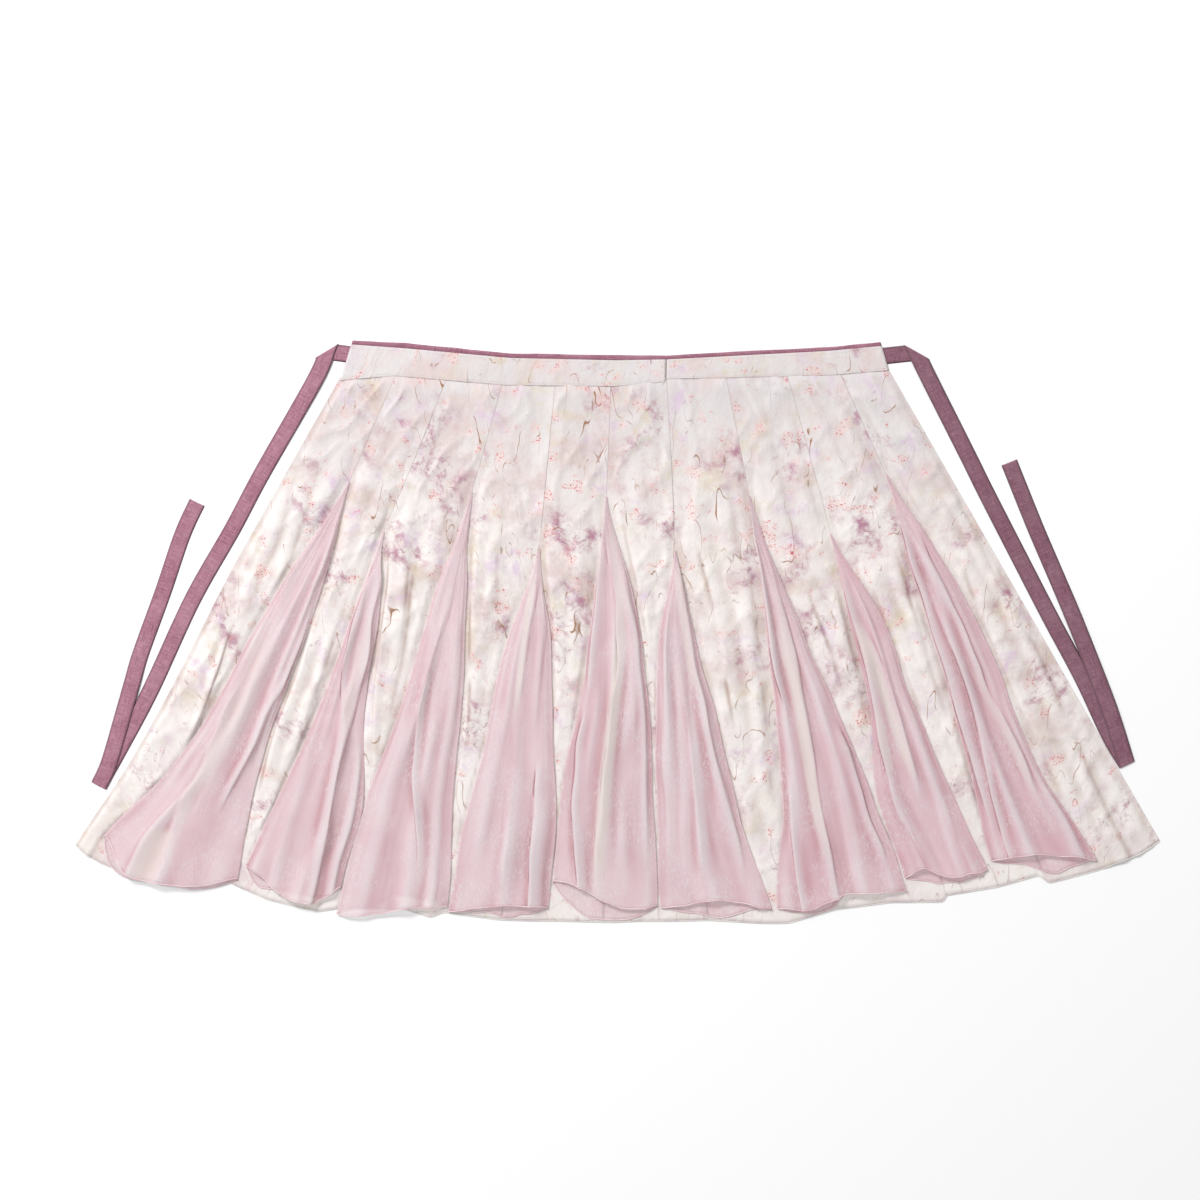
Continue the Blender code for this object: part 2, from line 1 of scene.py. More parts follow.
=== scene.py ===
# %% [markdown]
# # A hanfu skirt, laid open and flat
# The skirt is ten printed gores that flare from a narrow waistband, with nine sheer gussets (godets) let
# into the slits between them. Laid out flat, each godet folds over the gores beside it. Two linen ties lie
# beside the skirt. The solids of the construction model are the frame: every sheet of cloth below follows
# one of them, with finer folds, and stands for it.

# %% Load the frame
import math

import bmesh
import bpy
import numpy as np
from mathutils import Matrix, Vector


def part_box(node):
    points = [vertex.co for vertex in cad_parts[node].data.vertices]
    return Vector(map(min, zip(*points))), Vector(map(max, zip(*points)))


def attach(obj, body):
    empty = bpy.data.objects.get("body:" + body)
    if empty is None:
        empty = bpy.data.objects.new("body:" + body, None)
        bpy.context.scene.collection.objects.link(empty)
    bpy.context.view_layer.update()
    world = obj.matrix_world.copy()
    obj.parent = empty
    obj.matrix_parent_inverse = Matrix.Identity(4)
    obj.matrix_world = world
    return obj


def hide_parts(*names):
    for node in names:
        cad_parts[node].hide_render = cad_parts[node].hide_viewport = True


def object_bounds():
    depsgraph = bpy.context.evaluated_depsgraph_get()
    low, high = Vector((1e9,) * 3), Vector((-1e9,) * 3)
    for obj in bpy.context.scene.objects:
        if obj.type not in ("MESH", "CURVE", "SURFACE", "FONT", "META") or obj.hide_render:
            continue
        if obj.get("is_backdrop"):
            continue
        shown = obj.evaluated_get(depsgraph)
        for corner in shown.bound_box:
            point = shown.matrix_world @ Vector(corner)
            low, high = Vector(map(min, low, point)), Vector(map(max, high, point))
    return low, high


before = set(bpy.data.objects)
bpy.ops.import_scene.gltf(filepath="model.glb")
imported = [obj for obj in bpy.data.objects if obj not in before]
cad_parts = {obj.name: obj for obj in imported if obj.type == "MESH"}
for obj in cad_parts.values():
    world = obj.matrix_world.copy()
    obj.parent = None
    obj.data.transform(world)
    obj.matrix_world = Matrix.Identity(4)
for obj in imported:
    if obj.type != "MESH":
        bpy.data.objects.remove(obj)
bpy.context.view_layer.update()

# %% [markdown]
# ## Camera, light and floor
# The skirt was photographed from straight above, so the camera looks down. A long lens from nearly five
# metres up keeps the edges of the fan straight. Cloth reads by its folds: a large soft light from the upper
# left draws them, and a bright even sky keeps the shadows pale, as on a light table.

# %% Camera
CAMERA_PLACE = (-0.0301, 0.0541, 4.82)
LENS = 85.0
SENSOR = 36.0

camera_data = bpy.data.cameras.new("camera")
camera_data.lens = LENS
camera_data.sensor_width = SENSOR
camera = bpy.data.objects.new("camera", camera_data)
camera.location = CAMERA_PLACE
bpy.context.scene.collection.objects.link(camera)
bpy.context.scene.camera = camera
print("the view is", round(CAMERA_PLACE[2] * SENSOR / LENS, 2), "m wide at the floor")

# %% Light and floor
KEY_PLACE = (-3.6, 3.9, 4.9)
KEY_SIZE = 2.2
KEY_POWER = 430.0
SKY_STRENGTH = 0.61
FLOOR_SIDE = 16.0
FLOOR_COLOUR = (0.93, 0.93, 0.93, 1.0)


def area_light(name, place, side, power):
    data = bpy.data.lights.new(name, "AREA")
    data.shape = "DISK"
    data.size = side
    data.energy = power
    light = bpy.data.objects.new(name, data)
    light.location = place
    length = math.sqrt(sum(part * part for part in place))
    light.rotation_euler = (math.acos(place[2] / length), 0.0, math.atan2(place[1], place[0]) + math.pi / 2.0)
    bpy.context.scene.collection.objects.link(light)


def pale_floor():
    half = FLOOR_SIDE / 2.0
    corners = [(-half, -half, 0.0), (half, -half, 0.0), (half, half, 0.0), (-half, half, 0.0)]
    mesh = bpy.data.meshes.new("floor")
    mesh.from_pydata(corners, [], [(0, 1, 2, 3)])
    material = bpy.data.materials.new("floor")
    material.use_nodes = True
    shader = material.node_tree.nodes["Principled BSDF"]
    shader.inputs["Base Color"].default_value = FLOOR_COLOUR
    shader.inputs["Roughness"].default_value = 0.9
    shader.inputs["Specular IOR Level"].default_value = 0.1
    mesh.materials.append(material)
    floor = bpy.data.objects.new("floor", mesh)
    bpy.context.scene.collection.objects.link(floor)
    floor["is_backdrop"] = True


area_light("key", KEY_PLACE, KEY_SIZE, KEY_POWER)
pale_floor()
world = bpy.data.worlds.new("sky")
world.use_nodes = True
world.node_tree.nodes["Background"].inputs["Color"].default_value = (1.0, 1.0, 1.0, 1.0)
world.node_tree.nodes["Background"].inputs["Strength"].default_value = SKY_STRENGTH
bpy.context.scene.world = world
bpy.context.scene.view_settings.view_transform = "Standard"
light_paths = bpy.context.scene.cycles
light_paths.transparent_max_bounces = 14
light_paths.max_bounces = 4
light_paths.diffuse_bounces = 2
print("key light", KEY_POWER, "W, sky", SKY_STRENGTH)

# %% [markdown]
# ## The fan
# A flared skirt that is laid flat is a fan: every thread that ran straight down the wearer now lies on a
# ray. So a place on the cloth is given by two numbers, its share across the skirt (0 at the left edge, 1 at
# the right one) and its depth below the waist. All seams, hems and folds are written in these two, and one
# function lays them on the floor. The sizes are those of the construction model.

# %% Sizes of the fan
WAIST_LEFT_X = -0.482
WAIST_WIDTH = 0.945
FAN_LEFT_ANGLE = math.radians(-29.5)
FAN_SPREAD = math.radians(59.4)
NOMINAL_DROP = 0.9
TUCK = 0.008
SIDE_PULL = 0.013
SIDE_PULL_GROWS = (0.30, 0.65)
SIDE_PULL_FADES = (0.72, 0.91)
SIDE_PULL_WIDTH = 0.1

# Heights along the waist. Columns: across, where the rays start, band's bottom, band's top, facing's top
WAIST = np.array((
    (0.000, 0.4145, 0.4260, 0.4875, 0.4945),
    (0.100, 0.4245, 0.4340, 0.4810, 0.4900),
    (0.300, 0.4180, 0.4180, 0.4645, 0.4725),
    (0.500, 0.4145, 0.4160, 0.4605, 0.4695),
    (0.593, 0.4235, 0.4240, 0.4620, 0.4690),
    (0.595, 0.4240, 0.4290, 0.4620, 0.4690),
    (0.700, 0.4330, 0.4305, 0.4670, 0.4745),
    (0.900, 0.4385, 0.4355, 0.4765, 0.4830),
    (1.000, 0.4415, 0.4435, 0.4850, 0.4915),
))

# The waistband's slanted ends, and the slit between its two pieces
BAND_BOTTOM_X = (-0.472, 0.461)
BAND_TOP_X = (-0.453, 0.449)
BAND_SLIT = 0.594
SLIT_WIDTH = 0.0012
FACING_TUCK = 0.0022

# The frame was centred after it was built, so its own box says how far it moved
SHIFT_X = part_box("waistband_right")[1][0] - BAND_BOTTOM_X[1]
SHIFT_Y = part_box("waistband_facing")[1][1] - WAIST[:, 4].max()


# %% Laying the fan on the floor
def ease(value):
    """0 below 0, 1 above 1 and an even S between."""
    value = np.clip(value, 0.0, 1.0)
    return value * value * (3.0 - 2.0 * value)


def between(value, ends):
    """0 before the first end, 1 after the second one."""
    return ease((value - ends[0]) / (ends[1] - ends[0]))


def waist_line(column, across):
    return np.interp(across, WAIST[:, 0], WAIST[:, column])


def fan(across, depth):
    """The place on the floor of a share across the skirt and a depth below the waist line."""
    angle = FAN_LEFT_ANGLE + FAN_SPREAD * across
    pull = between(depth, SIDE_PULL_GROWS) * (1.0 - between(depth, SIDE_PULL_FADES))
    pull = pull * SIDE_PULL * np.maximum(1.0 - across / SIDE_PULL_WIDTH, 0.0)
    x = WAIST_LEFT_X + WAIST_WIDTH * across + depth * np.sin(angle) + pull
    return x + SHIFT_X, waist_line(1, across) - depth * np.cos(angle) + SHIFT_Y


def breadth(depth):
    """Metres for each whole unit across the fan at this depth."""
    return WAIST_WIDTH + FAN_SPREAD * depth


def through(values, share):
    """A smooth curve through evenly spaced values, read at shares from 0 to 1."""
    values = np.asarray(values)
    last = len(values) - 1
    index = np.minimum((np.asarray(share) * last).astype(int), last - 1)
    part = share * last - index
    slope_in = (values[index + 1] - values[np.maximum(index - 1, 0)]) / 2.0
    slope_out = (values[np.minimum(index + 2, last)] - values[index]) / 2.0
    return (
        values[index] * (2 * part**3 - 3 * part**2 + 1)
        + slope_in * (part**3 - 2 * part**2 + part)
        + values[index + 1] * (3 * part**2 - 2 * part**3)
        + slope_out * (part**3 - part**2)
    )


print("the skirt is", round(float(breadth(NOMINAL_DROP)), 2), "m round the hem")

# %% [markdown]
# ## Seams, godets and hems
# A godet starts at the end of a seam as a point and widens to the hem. Its two visible edges are read from
# the photograph at four even places. The printed hem runs on below the godets' hems, because the gores are
# a little longer.

# %% Seams, godets and hems
# Columns: share across the skirt where the seam leaves the waist, and where it reaches the hem
SEAMS = (
    (0.106, 0.106), (0.200, 0.187), (0.302, 0.289), (0.397, 0.399), (0.498, 0.491),
    (0.599, 0.585), (0.705, 0.701), (0.815, 0.799), (0.910, 0.888),
)

# Columns: tip across, tip depth, left and right visible edges at a quarter, half, three quarters and the hem
GODETS = (
    (0.105, 0.186, (0.077, 0.063, 0.052, 0.020), (0.127, 0.132, 0.138, 0.155)),
    (0.180, 0.266, (0.177, 0.176, 0.168, 0.158), (0.210, 0.223, 0.249, 0.249)),
    (0.290, 0.186, (0.271, 0.264, 0.252, 0.252), (0.311, 0.330, 0.338, 0.349)),
    (0.399, 0.277, (0.372, 0.363, 0.352, 0.351), (0.423, 0.433, 0.442, 0.440)),
    (0.491, 0.186, (0.478, 0.463, 0.448, 0.443), (0.526, 0.540, 0.540, 0.540)),
    (0.585, 0.287, (0.556, 0.547, 0.543, 0.542), (0.601, 0.615, 0.625, 0.643)),
    (0.701, 0.207, (0.690, 0.679, 0.669, 0.646), (0.722, 0.742, 0.758, 0.765)),
    (0.800, 0.284, (0.789, 0.783, 0.763, 0.767), (0.829, 0.829, 0.834, 0.842)),
    (0.910, 0.189, (0.887, 0.875, 0.861, 0.848), (0.934, 0.934, 0.928, 0.939)),
)

# Depth of each godet's hem from its left fold to its right one, at five even places
GODET_HEMS = (
    (0.867, 0.922, 0.932, 0.924, 0.900),
    (0.872, 0.893, 0.913, 0.918, 0.882),
    (0.930, 0.925, 0.913, 0.901, 0.894),
    (0.903, 0.896, 0.887, 0.886, 0.886),
    (0.842, 0.848, 0.874, 0.887, 0.886),
    (0.889, 0.887, 0.884, 0.896, 0.911),
    (0.910, 0.920, 0.904, 0.906, 0.911),
    (0.889, 0.877, 0.898, 0.901, 0.899),
    (0.884, 0.886, 0.891, 0.906, 0.923),
)

# Depth of the hem of the layer under each godet, on its left and on its right
UNDER_HEMS = (
    (0.935, 0.932), (0.914, 0.906), (0.906, 0.882), (0.902, 0.906), (0.904, 0.908),
    (0.904, 0.914), (0.926, 0.900), (0.908, 0.912), (0.906, 0.931),
)

# The printed hem. Columns: across, depth
HEM = np.array((
    (0.000, 0.894), (0.015, 0.908), (0.030, 0.917), (0.050, 0.924), (0.080, 0.931), (0.106, 0.926),
    (0.150, 0.909), (0.187, 0.925), (0.215, 0.929), (0.235, 0.931), (0.254, 0.919), (0.310, 0.907),
    (0.335, 0.917), (0.346, 0.906), (0.398, 0.912), (0.458, 0.909), (0.522, 0.910), (0.585, 0.918),
    (0.636, 0.934), (0.655, 0.938), (0.700, 0.926), (0.749, 0.927), (0.794, 0.940), (0.799, 0.930),
    (0.845, 0.932), (0.884, 0.927), (0.890, 0.944), (0.936, 0.942), (0.979, 0.933), (1.000, 0.921),
))
TIP_HALF_WIDTH = 0.0012
FREE_MARGIN = 0.003
EDGE_SHARE = 0.03


def seam_across(number, depth):
    """Where seam 1 to 9 lies at a depth. Seams 0 and 10 are the skirt's two side edges."""
    if number == 0:
        return np.zeros_like(depth)
    if number == len(SEAMS) + 1:
        return np.ones_like(depth)
    at_waist, at_hem = SEAMS[number - 1]
    tip_across, tip_depth, _, _ = GODETS[number - 1]
    above = at_waist + (tip_across - at_waist) * np.clip(depth / tip_depth, 0.0, 1.0)
    down = np.clip((depth - tip_depth) / (NOMINAL_DROP - tip_depth), 0.0, 1.0)
    return np.where(depth < tip_depth, above, tip_across + (at_hem - tip_across) * down)


def godet_edges(number, share):
    """Both visible edges of a godet, as shares across the skirt, at shares of its length."""
    tip_across, tip_depth, left, right = GODETS[number - 1]
    half_tip = TIP_HALF_WIDTH / breadth(tip_depth)
    seam = seam_across(number, tip_depth + share * (NOMINAL_DROP - tip_depth))
    left_edge = through((tip_across - half_tip,) + left, share)
    right_edge = through((tip_across + half_tip,) + right, share)
    return np.minimum(left_edge, seam - half_tip), np.maximum(right_edge, seam + half_tip)


def covered_part(number, depth, side):
    """How far the godet in this seam covers the gore on its left (side 0) or right (side 1)."""
    tip_depth = GODETS[number - 1][1]
    hem = GODET_HEMS[number - 1][-side]
    edge = godet_edges(number, np.clip((depth - tip_depth) / (hem - tip_depth), 0.0, 1.0))[side]
    cover = np.abs(edge - seam_across(number, depth)) + FREE_MARGIN / breadth(depth)
    return np.where(depth > tip_depth, cover, 0.0)


print(len(SEAMS) + 1, "gores and", len(GODETS), "godets")

# %% [markdown]
# ## The folds, placed one by one
# Laid-out cloth keeps the folds it was dropped with. Each one here is a line down the cloth with a width, a
# height and a lean. A ridge that leans further than its width hangs over itself, as a real fold does when
# the cloth is smoothed flat, and the cloth under it lies in shade. Soft folds don't lean. They are all as
# uneven as the real ones, so they stand in a table and not in a formula.

# %% Table of folds
# For each piece, its folds.
# Columns: the line as (across, depth) places, half width, height, lean, shade beside it
FOLDS = {
    "godet_1": (
        (((0.110, 0.21), (0.112, 0.26), (0.114, 0.31), (0.117, 0.36)), 0.004, 0.003, 0.003, 0.5),
        (((0.129, 0.42), (0.127, 0.52), (0.123, 0.57), (0.119, 0.67), (0.113, 0.77)),
         0.005, 0.006, 0.007, 0.9),
        (((0.073, 0.46), (0.076, 0.53), (0.068, 0.62), (0.052, 0.75)), 0.010, 0.004, 0.0, 0.25),
        (((0.085, 0.34), (0.093, 0.49), (0.100, 0.61), (0.086, 0.74), (0.062, 0.85)),
         0.012, 0.005, -0.005, 0.3),
        (((0.126, 0.56), (0.132, 0.64), (0.138, 0.72), (0.146, 0.83)), 0.006, 0.004, 0.005, 0.5),
        (((0.079, 0.59), (0.084, 0.72), (0.082, 0.82), (0.090, 0.91)), 0.008, 0.004, -0.004, 0.3),
    ),
    "godet_2": (
        (((0.187, 0.34), (0.185, 0.41), (0.189, 0.50), (0.203, 0.58)), 0.005, 0.005, -0.006, 0.9),
        (((0.188, 0.32), (0.197, 0.41), (0.210, 0.53), (0.209, 0.65), (0.223, 0.87)),
         0.006, 0.006, 0.008, 0.65),
        (((0.184, 0.67), (0.186, 0.76), (0.188, 0.85)), 0.008, 0.003, 0.0, 0.2),
        (((0.232, 0.63), (0.238, 0.71), (0.240, 0.86)), 0.005, 0.004, 0.004, 0.45),
    ),
    "godet_3": (
        (((0.290, 0.27), (0.292, 0.37), (0.284, 0.46), (0.287, 0.56)), 0.005, 0.003, 0.003, 0.35),
        (((0.290, 0.44), (0.288, 0.56), (0.297, 0.70), (0.312, 0.77), (0.318, 0.83)),
         0.005, 0.005, -0.005, 0.6),
        (((0.275, 0.58), (0.273, 0.71), (0.272, 0.85)), 0.010, 0.004, 0.0, 0.25),
        (((0.307, 0.41), (0.320, 0.58), (0.326, 0.77), (0.333, 0.89)), 0.006, 0.004, 0.003, 0.3),
    ),
    "godet_4": (
        (((0.397, 0.33), (0.391, 0.45), (0.391, 0.53)), 0.004, 0.003, 0.003, 0.5),
        (((0.424, 0.66), (0.426, 0.76), (0.427, 0.88)), 0.007, 0.007, -0.009, 0.95),
        (((0.378, 0.57), (0.372, 0.68), (0.371, 0.80)), 0.008, 0.003, 0.0, 0.2),
        (((0.408, 0.33), (0.412, 0.45), (0.413, 0.57)), 0.004, 0.003, 0.002, 0.35),
        (((0.398, 0.59), (0.397, 0.71), (0.398, 0.84)), 0.008, 0.004, -0.003, 0.3),
    ),
    "godet_5": (
        (((0.489, 0.21), (0.483, 0.30), (0.480, 0.38), (0.473, 0.50)), 0.005, 0.004, -0.004, 0.6),
        (((0.497, 0.26), (0.509, 0.36), (0.512, 0.47), (0.500, 0.55), (0.484, 0.82)),
         0.006, 0.006, -0.007, 0.7),
        (((0.514, 0.33), (0.528, 0.45), (0.533, 0.53), (0.533, 0.64), (0.530, 0.76)),
         0.006, 0.005, 0.005, 0.5),
        (((0.468, 0.57), (0.462, 0.69), (0.466, 0.77), (0.470, 0.85)), 0.006, 0.005, -0.005, 0.8),
        (((0.520, 0.53), (0.512, 0.67), (0.508, 0.80)), 0.008, 0.004, 0.002, 0.25),
    ),
    "godet_6": (
        (((0.585, 0.33), (0.591, 0.42), (0.596, 0.57), (0.608, 0.70), (0.620, 0.81)),
         0.006, 0.006, 0.007, 0.5),
        (((0.574, 0.36), (0.567, 0.46), (0.560, 0.59), (0.554, 0.81)), 0.006, 0.004, -0.004, 0.4),
        (((0.587, 0.54), (0.587, 0.59), (0.588, 0.71), (0.586, 0.83)), 0.007, 0.005, -0.004, 0.4),
        (((0.581, 0.37), (0.577, 0.51), (0.573, 0.64), (0.570, 0.80)), 0.007, 0.003, 0.0, 0.25),
    ),
    "godet_7": (
        (((0.700, 0.23), (0.695, 0.32), (0.693, 0.41), (0.690, 0.50), (0.693, 0.56)),
         0.005, 0.006, -0.006, 1.0),
        (((0.706, 0.35), (0.710, 0.50), (0.708, 0.56), (0.702, 0.76), (0.701, 0.85)),
         0.006, 0.005, 0.006, 0.6),
        (((0.740, 0.63), (0.746, 0.75), (0.750, 0.84)), 0.006, 0.006, 0.008, 0.9),
        (((0.680, 0.71), (0.676, 0.78), (0.672, 0.87)), 0.005, 0.005, -0.005, 0.6),
        (((0.724, 0.46), (0.731, 0.60), (0.731, 0.72), (0.727, 0.85)), 0.008, 0.004, 0.0, 0.25),
    ),
    "godet_8": (
        (((0.798, 0.38), (0.797, 0.47), (0.792, 0.57), (0.785, 0.66), (0.780, 0.77)),
         0.005, 0.006, -0.007, 0.8),
        (((0.801, 0.47), (0.806, 0.55), (0.806, 0.63), (0.803, 0.72)), 0.006, 0.005, 0.006, 0.5),
        (((0.820, 0.50), (0.820, 0.64), (0.819, 0.75), (0.819, 0.86)), 0.007, 0.004, 0.0, 0.3),
        (((0.780, 0.74), (0.789, 0.81), (0.796, 0.88)), 0.007, 0.004, -0.003, 0.35),
    ),
    "godet_9": (
        (((0.904, 0.27), (0.892, 0.37), (0.885, 0.47), (0.874, 0.62), (0.862, 0.80)),
         0.005, 0.006, -0.007, 0.85),
        (((0.912, 0.32), (0.911, 0.41), (0.911, 0.48), (0.907, 0.54), (0.908, 0.58)),
         0.006, 0.008, 0.009, 1.0),
        (((0.899, 0.44), (0.896, 0.55), (0.891, 0.63), (0.879, 0.73), (0.866, 0.88)),
         0.005, 0.006, -0.006, 0.85),
        (((0.907, 0.58), (0.911, 0.62), (0.913, 0.70), (0.911, 0.78)), 0.006, 0.006, 0.006, 0.3),
        (((0.925, 0.64), (0.927, 0.77), (0.925, 0.86), (0.925, 0.92)), 0.007, 0.005, 0.004, 0.4),
    ),
    "gore_1": (
        (((0.037, 0.18), (0.055, 0.28), (0.070, 0.40)), 0.006, 0.004, 0.003, 0.5),
        (((0.033, 0.47), (0.040, 0.53), (0.043, 0.59), (0.050, 0.68)), 0.005, 0.005, 0.005, 0.9),
        (((0.022, 0.22), (0.034, 0.34), (0.037, 0.43)), 0.007, 0.004, 0.0, 0.4),
        (((0.017, 0.08), (0.033, 0.18), (0.051, 0.28)), 0.008, 0.003, -0.003, 0.3),
        (((0.080, 0.10), (0.078, 0.18), (0.072, 0.27)), 0.007, 0.004, 0.003, 0.4),
    ),
    "gore_2": (
        (((0.142, 0.47), (0.144, 0.57), (0.144, 0.64), (0.150, 0.72)), 0.005, 0.005, -0.004, 0.8),
        (((0.135, 0.25), (0.143, 0.36), (0.149, 0.45)), 0.007, 0.004, -0.003, 0.45),
        (((0.120, 0.07), (0.124, 0.16), (0.132, 0.23)), 0.008, 0.004, 0.0, 0.35),
        (((0.156, 0.43), (0.160, 0.56), (0.159, 0.68), (0.156, 0.79)), 0.006, 0.004, 0.004, 0.5),
        (((0.165, 0.03), (0.162, 0.14), (0.168, 0.24)), 0.006, 0.003, 0.003, 0.35),
    ),
    "gore_3": (
        (((0.198, 0.29), (0.212, 0.35), (0.222, 0.44), (0.234, 0.55), (0.252, 0.67)),
         0.005, 0.005, -0.005, 0.9),
        (((0.199, 0.08), (0.203, 0.21), (0.214, 0.31), (0.237, 0.45)), 0.006, 0.005, 0.004, 0.6),
        (((0.225, 0.31), (0.240, 0.47), (0.248, 0.59)), 0.006, 0.004, 0.003, 0.5),
        (((0.225, 0.05), (0.240, 0.17), (0.250, 0.31)), 0.008, 0.004, 0.0, 0.3),
        (((0.272, 0.04), (0.268, 0.12), (0.262, 0.22)), 0.006, 0.003, -0.003, 0.35),
    ),
    "gore_4": (
        (((0.300, 0.21), (0.318, 0.31), (0.330, 0.42), (0.342, 0.50), (0.348, 0.60)),
         0.005, 0.005, -0.004, 0.85),
        (((0.325, 0.20), (0.334, 0.30), (0.343, 0.41)), 0.006, 0.004, 0.003, 0.5),
        (((0.320, 0.08), (0.345, 0.17), (0.368, 0.26)), 0.007, 0.004, 0.003, 0.4),
        (((0.350, 0.02), (0.352, 0.09), (0.360, 0.16)), 0.006, 0.003, 0.0, 0.3),
    ),
    "gore_5": (
        (((0.415, 0.29), (0.430, 0.41), (0.438, 0.47), (0.444, 0.58)), 0.005, 0.004, -0.003, 0.7),
        (((0.410, 0.06), (0.412, 0.16), (0.410, 0.24)), 0.006, 0.004, 0.003, 0.4),
        (((0.452, 0.15), (0.455, 0.26), (0.452, 0.37)), 0.008, 0.004, 0.0, 0.35),
        (((0.470, 0.03), (0.466, 0.10), (0.462, 0.18)), 0.006, 0.004, -0.003, 0.4),
    ),
    "gore_6": (
        (((0.525, 0.24), (0.538, 0.33), (0.547, 0.42)), 0.005, 0.004, -0.004, 0.6),
        (((0.530, 0.05), (0.537, 0.14), (0.548, 0.28)), 0.006, 0.004, 0.003, 0.45),
        (((0.588, 0.10), (0.584, 0.19), (0.578, 0.27)), 0.005, 0.004, 0.003, 0.7),
        (((0.562, 0.02), (0.560, 0.10), (0.562, 0.20)), 0.007, 0.003, 0.0, 0.3),
    ),
    "gore_7": (
        (((0.690, 0.12), (0.692, 0.20), (0.684, 0.30)), 0.005, 0.004, 0.004, 0.6),
        (((0.624, 0.27), (0.634, 0.38), (0.640, 0.52), (0.640, 0.62)), 0.006, 0.004, -0.004, 0.7),
        (((0.672, 0.32), (0.664, 0.45), (0.656, 0.59), (0.652, 0.72)), 0.007, 0.005, 0.004, 0.45),
        (((0.655, 0.10), (0.658, 0.21), (0.658, 0.31)), 0.008, 0.004, 0.0, 0.35),
        (((0.622, 0.03), (0.628, 0.10), (0.632, 0.18)), 0.006, 0.003, 0.003, 0.35),
    ),
    "gore_8": (
        (((0.752, 0.32), (0.762, 0.43), (0.766, 0.54)), 0.006, 0.004, -0.004, 0.6),
        (((0.789, 0.08), (0.784, 0.17), (0.778, 0.27)), 0.006, 0.004, 0.003, 0.45),
        (((0.776, 0.38), (0.772, 0.50), (0.764, 0.62)), 0.006, 0.005, 0.003, 0.55),
        (((0.740, 0.05), (0.738, 0.16), (0.736, 0.28)), 0.008, 0.004, 0.0, 0.35),
    ),
    "gore_9": (
        (((0.836, 0.40), (0.838, 0.50), (0.840, 0.60)), 0.005, 0.004, -0.004, 0.65),
        (((0.884, 0.04), (0.884, 0.12), (0.882, 0.22)), 0.006, 0.004, 0.003, 0.4),
        (((0.866, 0.34), (0.858, 0.46), (0.850, 0.60)), 0.006, 0.005, 0.004, 0.6),
        (((0.838, 0.08), (0.842, 0.18), (0.845, 0.30)), 0.007, 0.004, 0.0, 0.35),
    ),
    "gore_10": (
        (((0.961, 0.39), (0.950, 0.49), (0.946, 0.62), (0.944, 0.80)), 0.007, 0.005, -0.004, 0.6),
        (((0.971, 0.11), (0.961, 0.23), (0.959, 0.34)), 0.007, 0.004, 0.0, 0.35),
        (((0.982, 0.42), (0.973, 0.57), (0.965, 0.75), (0.959, 0.86)), 0.007, 0.004, 0.003, 0.4),
        (((0.986, 0.13), (0.981, 0.29), (0.975, 0.40)), 0.006, 0.003, 0.003, 0.3),
        (((0.930, 0.05), (0.936, 0.15), (0.942, 0.26)), 0.006, 0.004, -0.003, 0.4),
    ),
}
ALL_FOLDS = [(piece, *row) for piece, rows in FOLDS.items() for row in rows]

# Where one layer of a godet lies on the print, so that the cream shows.
# Columns: godet, the line as (across, depth) places, half width, strength
PALE_STRIPS = (
    ("godet_1", ((0.080, 0.46), (0.092, 0.62), (0.080, 0.80)), 0.016, 0.45),
    ("godet_1", ((0.074, 0.84), (0.073, 0.90)), 0.022, 0.75),
    ("godet_2", ((0.196, 0.45), (0.209, 0.62)), 0.005, 0.4),
    ("godet_4", ((0.394, 0.32), (0.390, 0.45), (0.392, 0.56)), 0.005, 0.75),
    ("godet_5", ((0.509, 0.40), (0.505, 0.50), (0.496, 0.60), (0.489, 0.72), (0.486, 0.83)), 0.010, 1.0),
    ("godet_5", ((0.498, 0.24), (0.510, 0.34), (0.516, 0.46)), 0.004, 0.5),
    ("godet_6", ((0.583, 0.32), (0.587, 0.42), (0.591, 0.52)), 0.005, 0.65),
    ("godet_7", ((0.703, 0.44), (0.705, 0.54), (0.701, 0.66), (0.699, 0.80)), 0.008, 0.85),
    ("godet_8", ((0.797, 0.44), (0.801, 0.55), (0.801, 0.70)), 0.007, 0.85),
    ("godet_8", ((0.790, 0.60), (0.784, 0.70)), 0.005, 0.6),
    ("godet_9", ((0.905, 0.55), (0.909, 0.66), (0.911, 0.78)), 0.005, 0.45),
)
print(len(ALL_FOLDS), "folds and", len(PALE_STRIPS), "pale strips")

# %% How a fold moves the cloth
FOLD_RAMP = 0.3
HEM_REACH = 0.84
LINE_SOFTNESS = 0.03
WANDER = 0.0022
SHARP_LEAN = 0.0045
LATTICE = 97

# How far along a fold it takes to wander sideways, to swell and sink, and to change in its shade
WANDER_LENGTH = 0.06
UNEVEN_LENGTH = 0.08
PATCH_LENGTH = 0.045

# The strips of shade and of light along a ridge, in half widths from it. A ridge this high catches full light
SHADE_PLACE = 1.2
SHADE_WIDTH = 0.40
LIGHT_PLACE = -0.35
LIGHT_WIDTH = 0.7
FULL_LIGHT_HEIGHT = 0.006


def line_across(line, depth):
    """A fold's line at these depths, rounded off at its points."""
    places = np.array(line)
    steps = np.linspace(-LINE_SOFTNESS, LINE_SOFTNESS, 5)
    return sum(np.interp(depth + step, places[:, 1], places[:, 0]) for step in steps) / len(steps)


def fold_strength(line, depth):
    """How far a fold has grown: it tapers at both ends, unless it runs into the hem."""
    start, end = line[0][1], line[-1][1]
    ramp = FOLD_RAMP * (end - start)
    strength = ease((depth - start) / ramp + 0.5)
    return strength if end > HEM_REACH else strength * ease((end - depth) / ramp + 0.5)


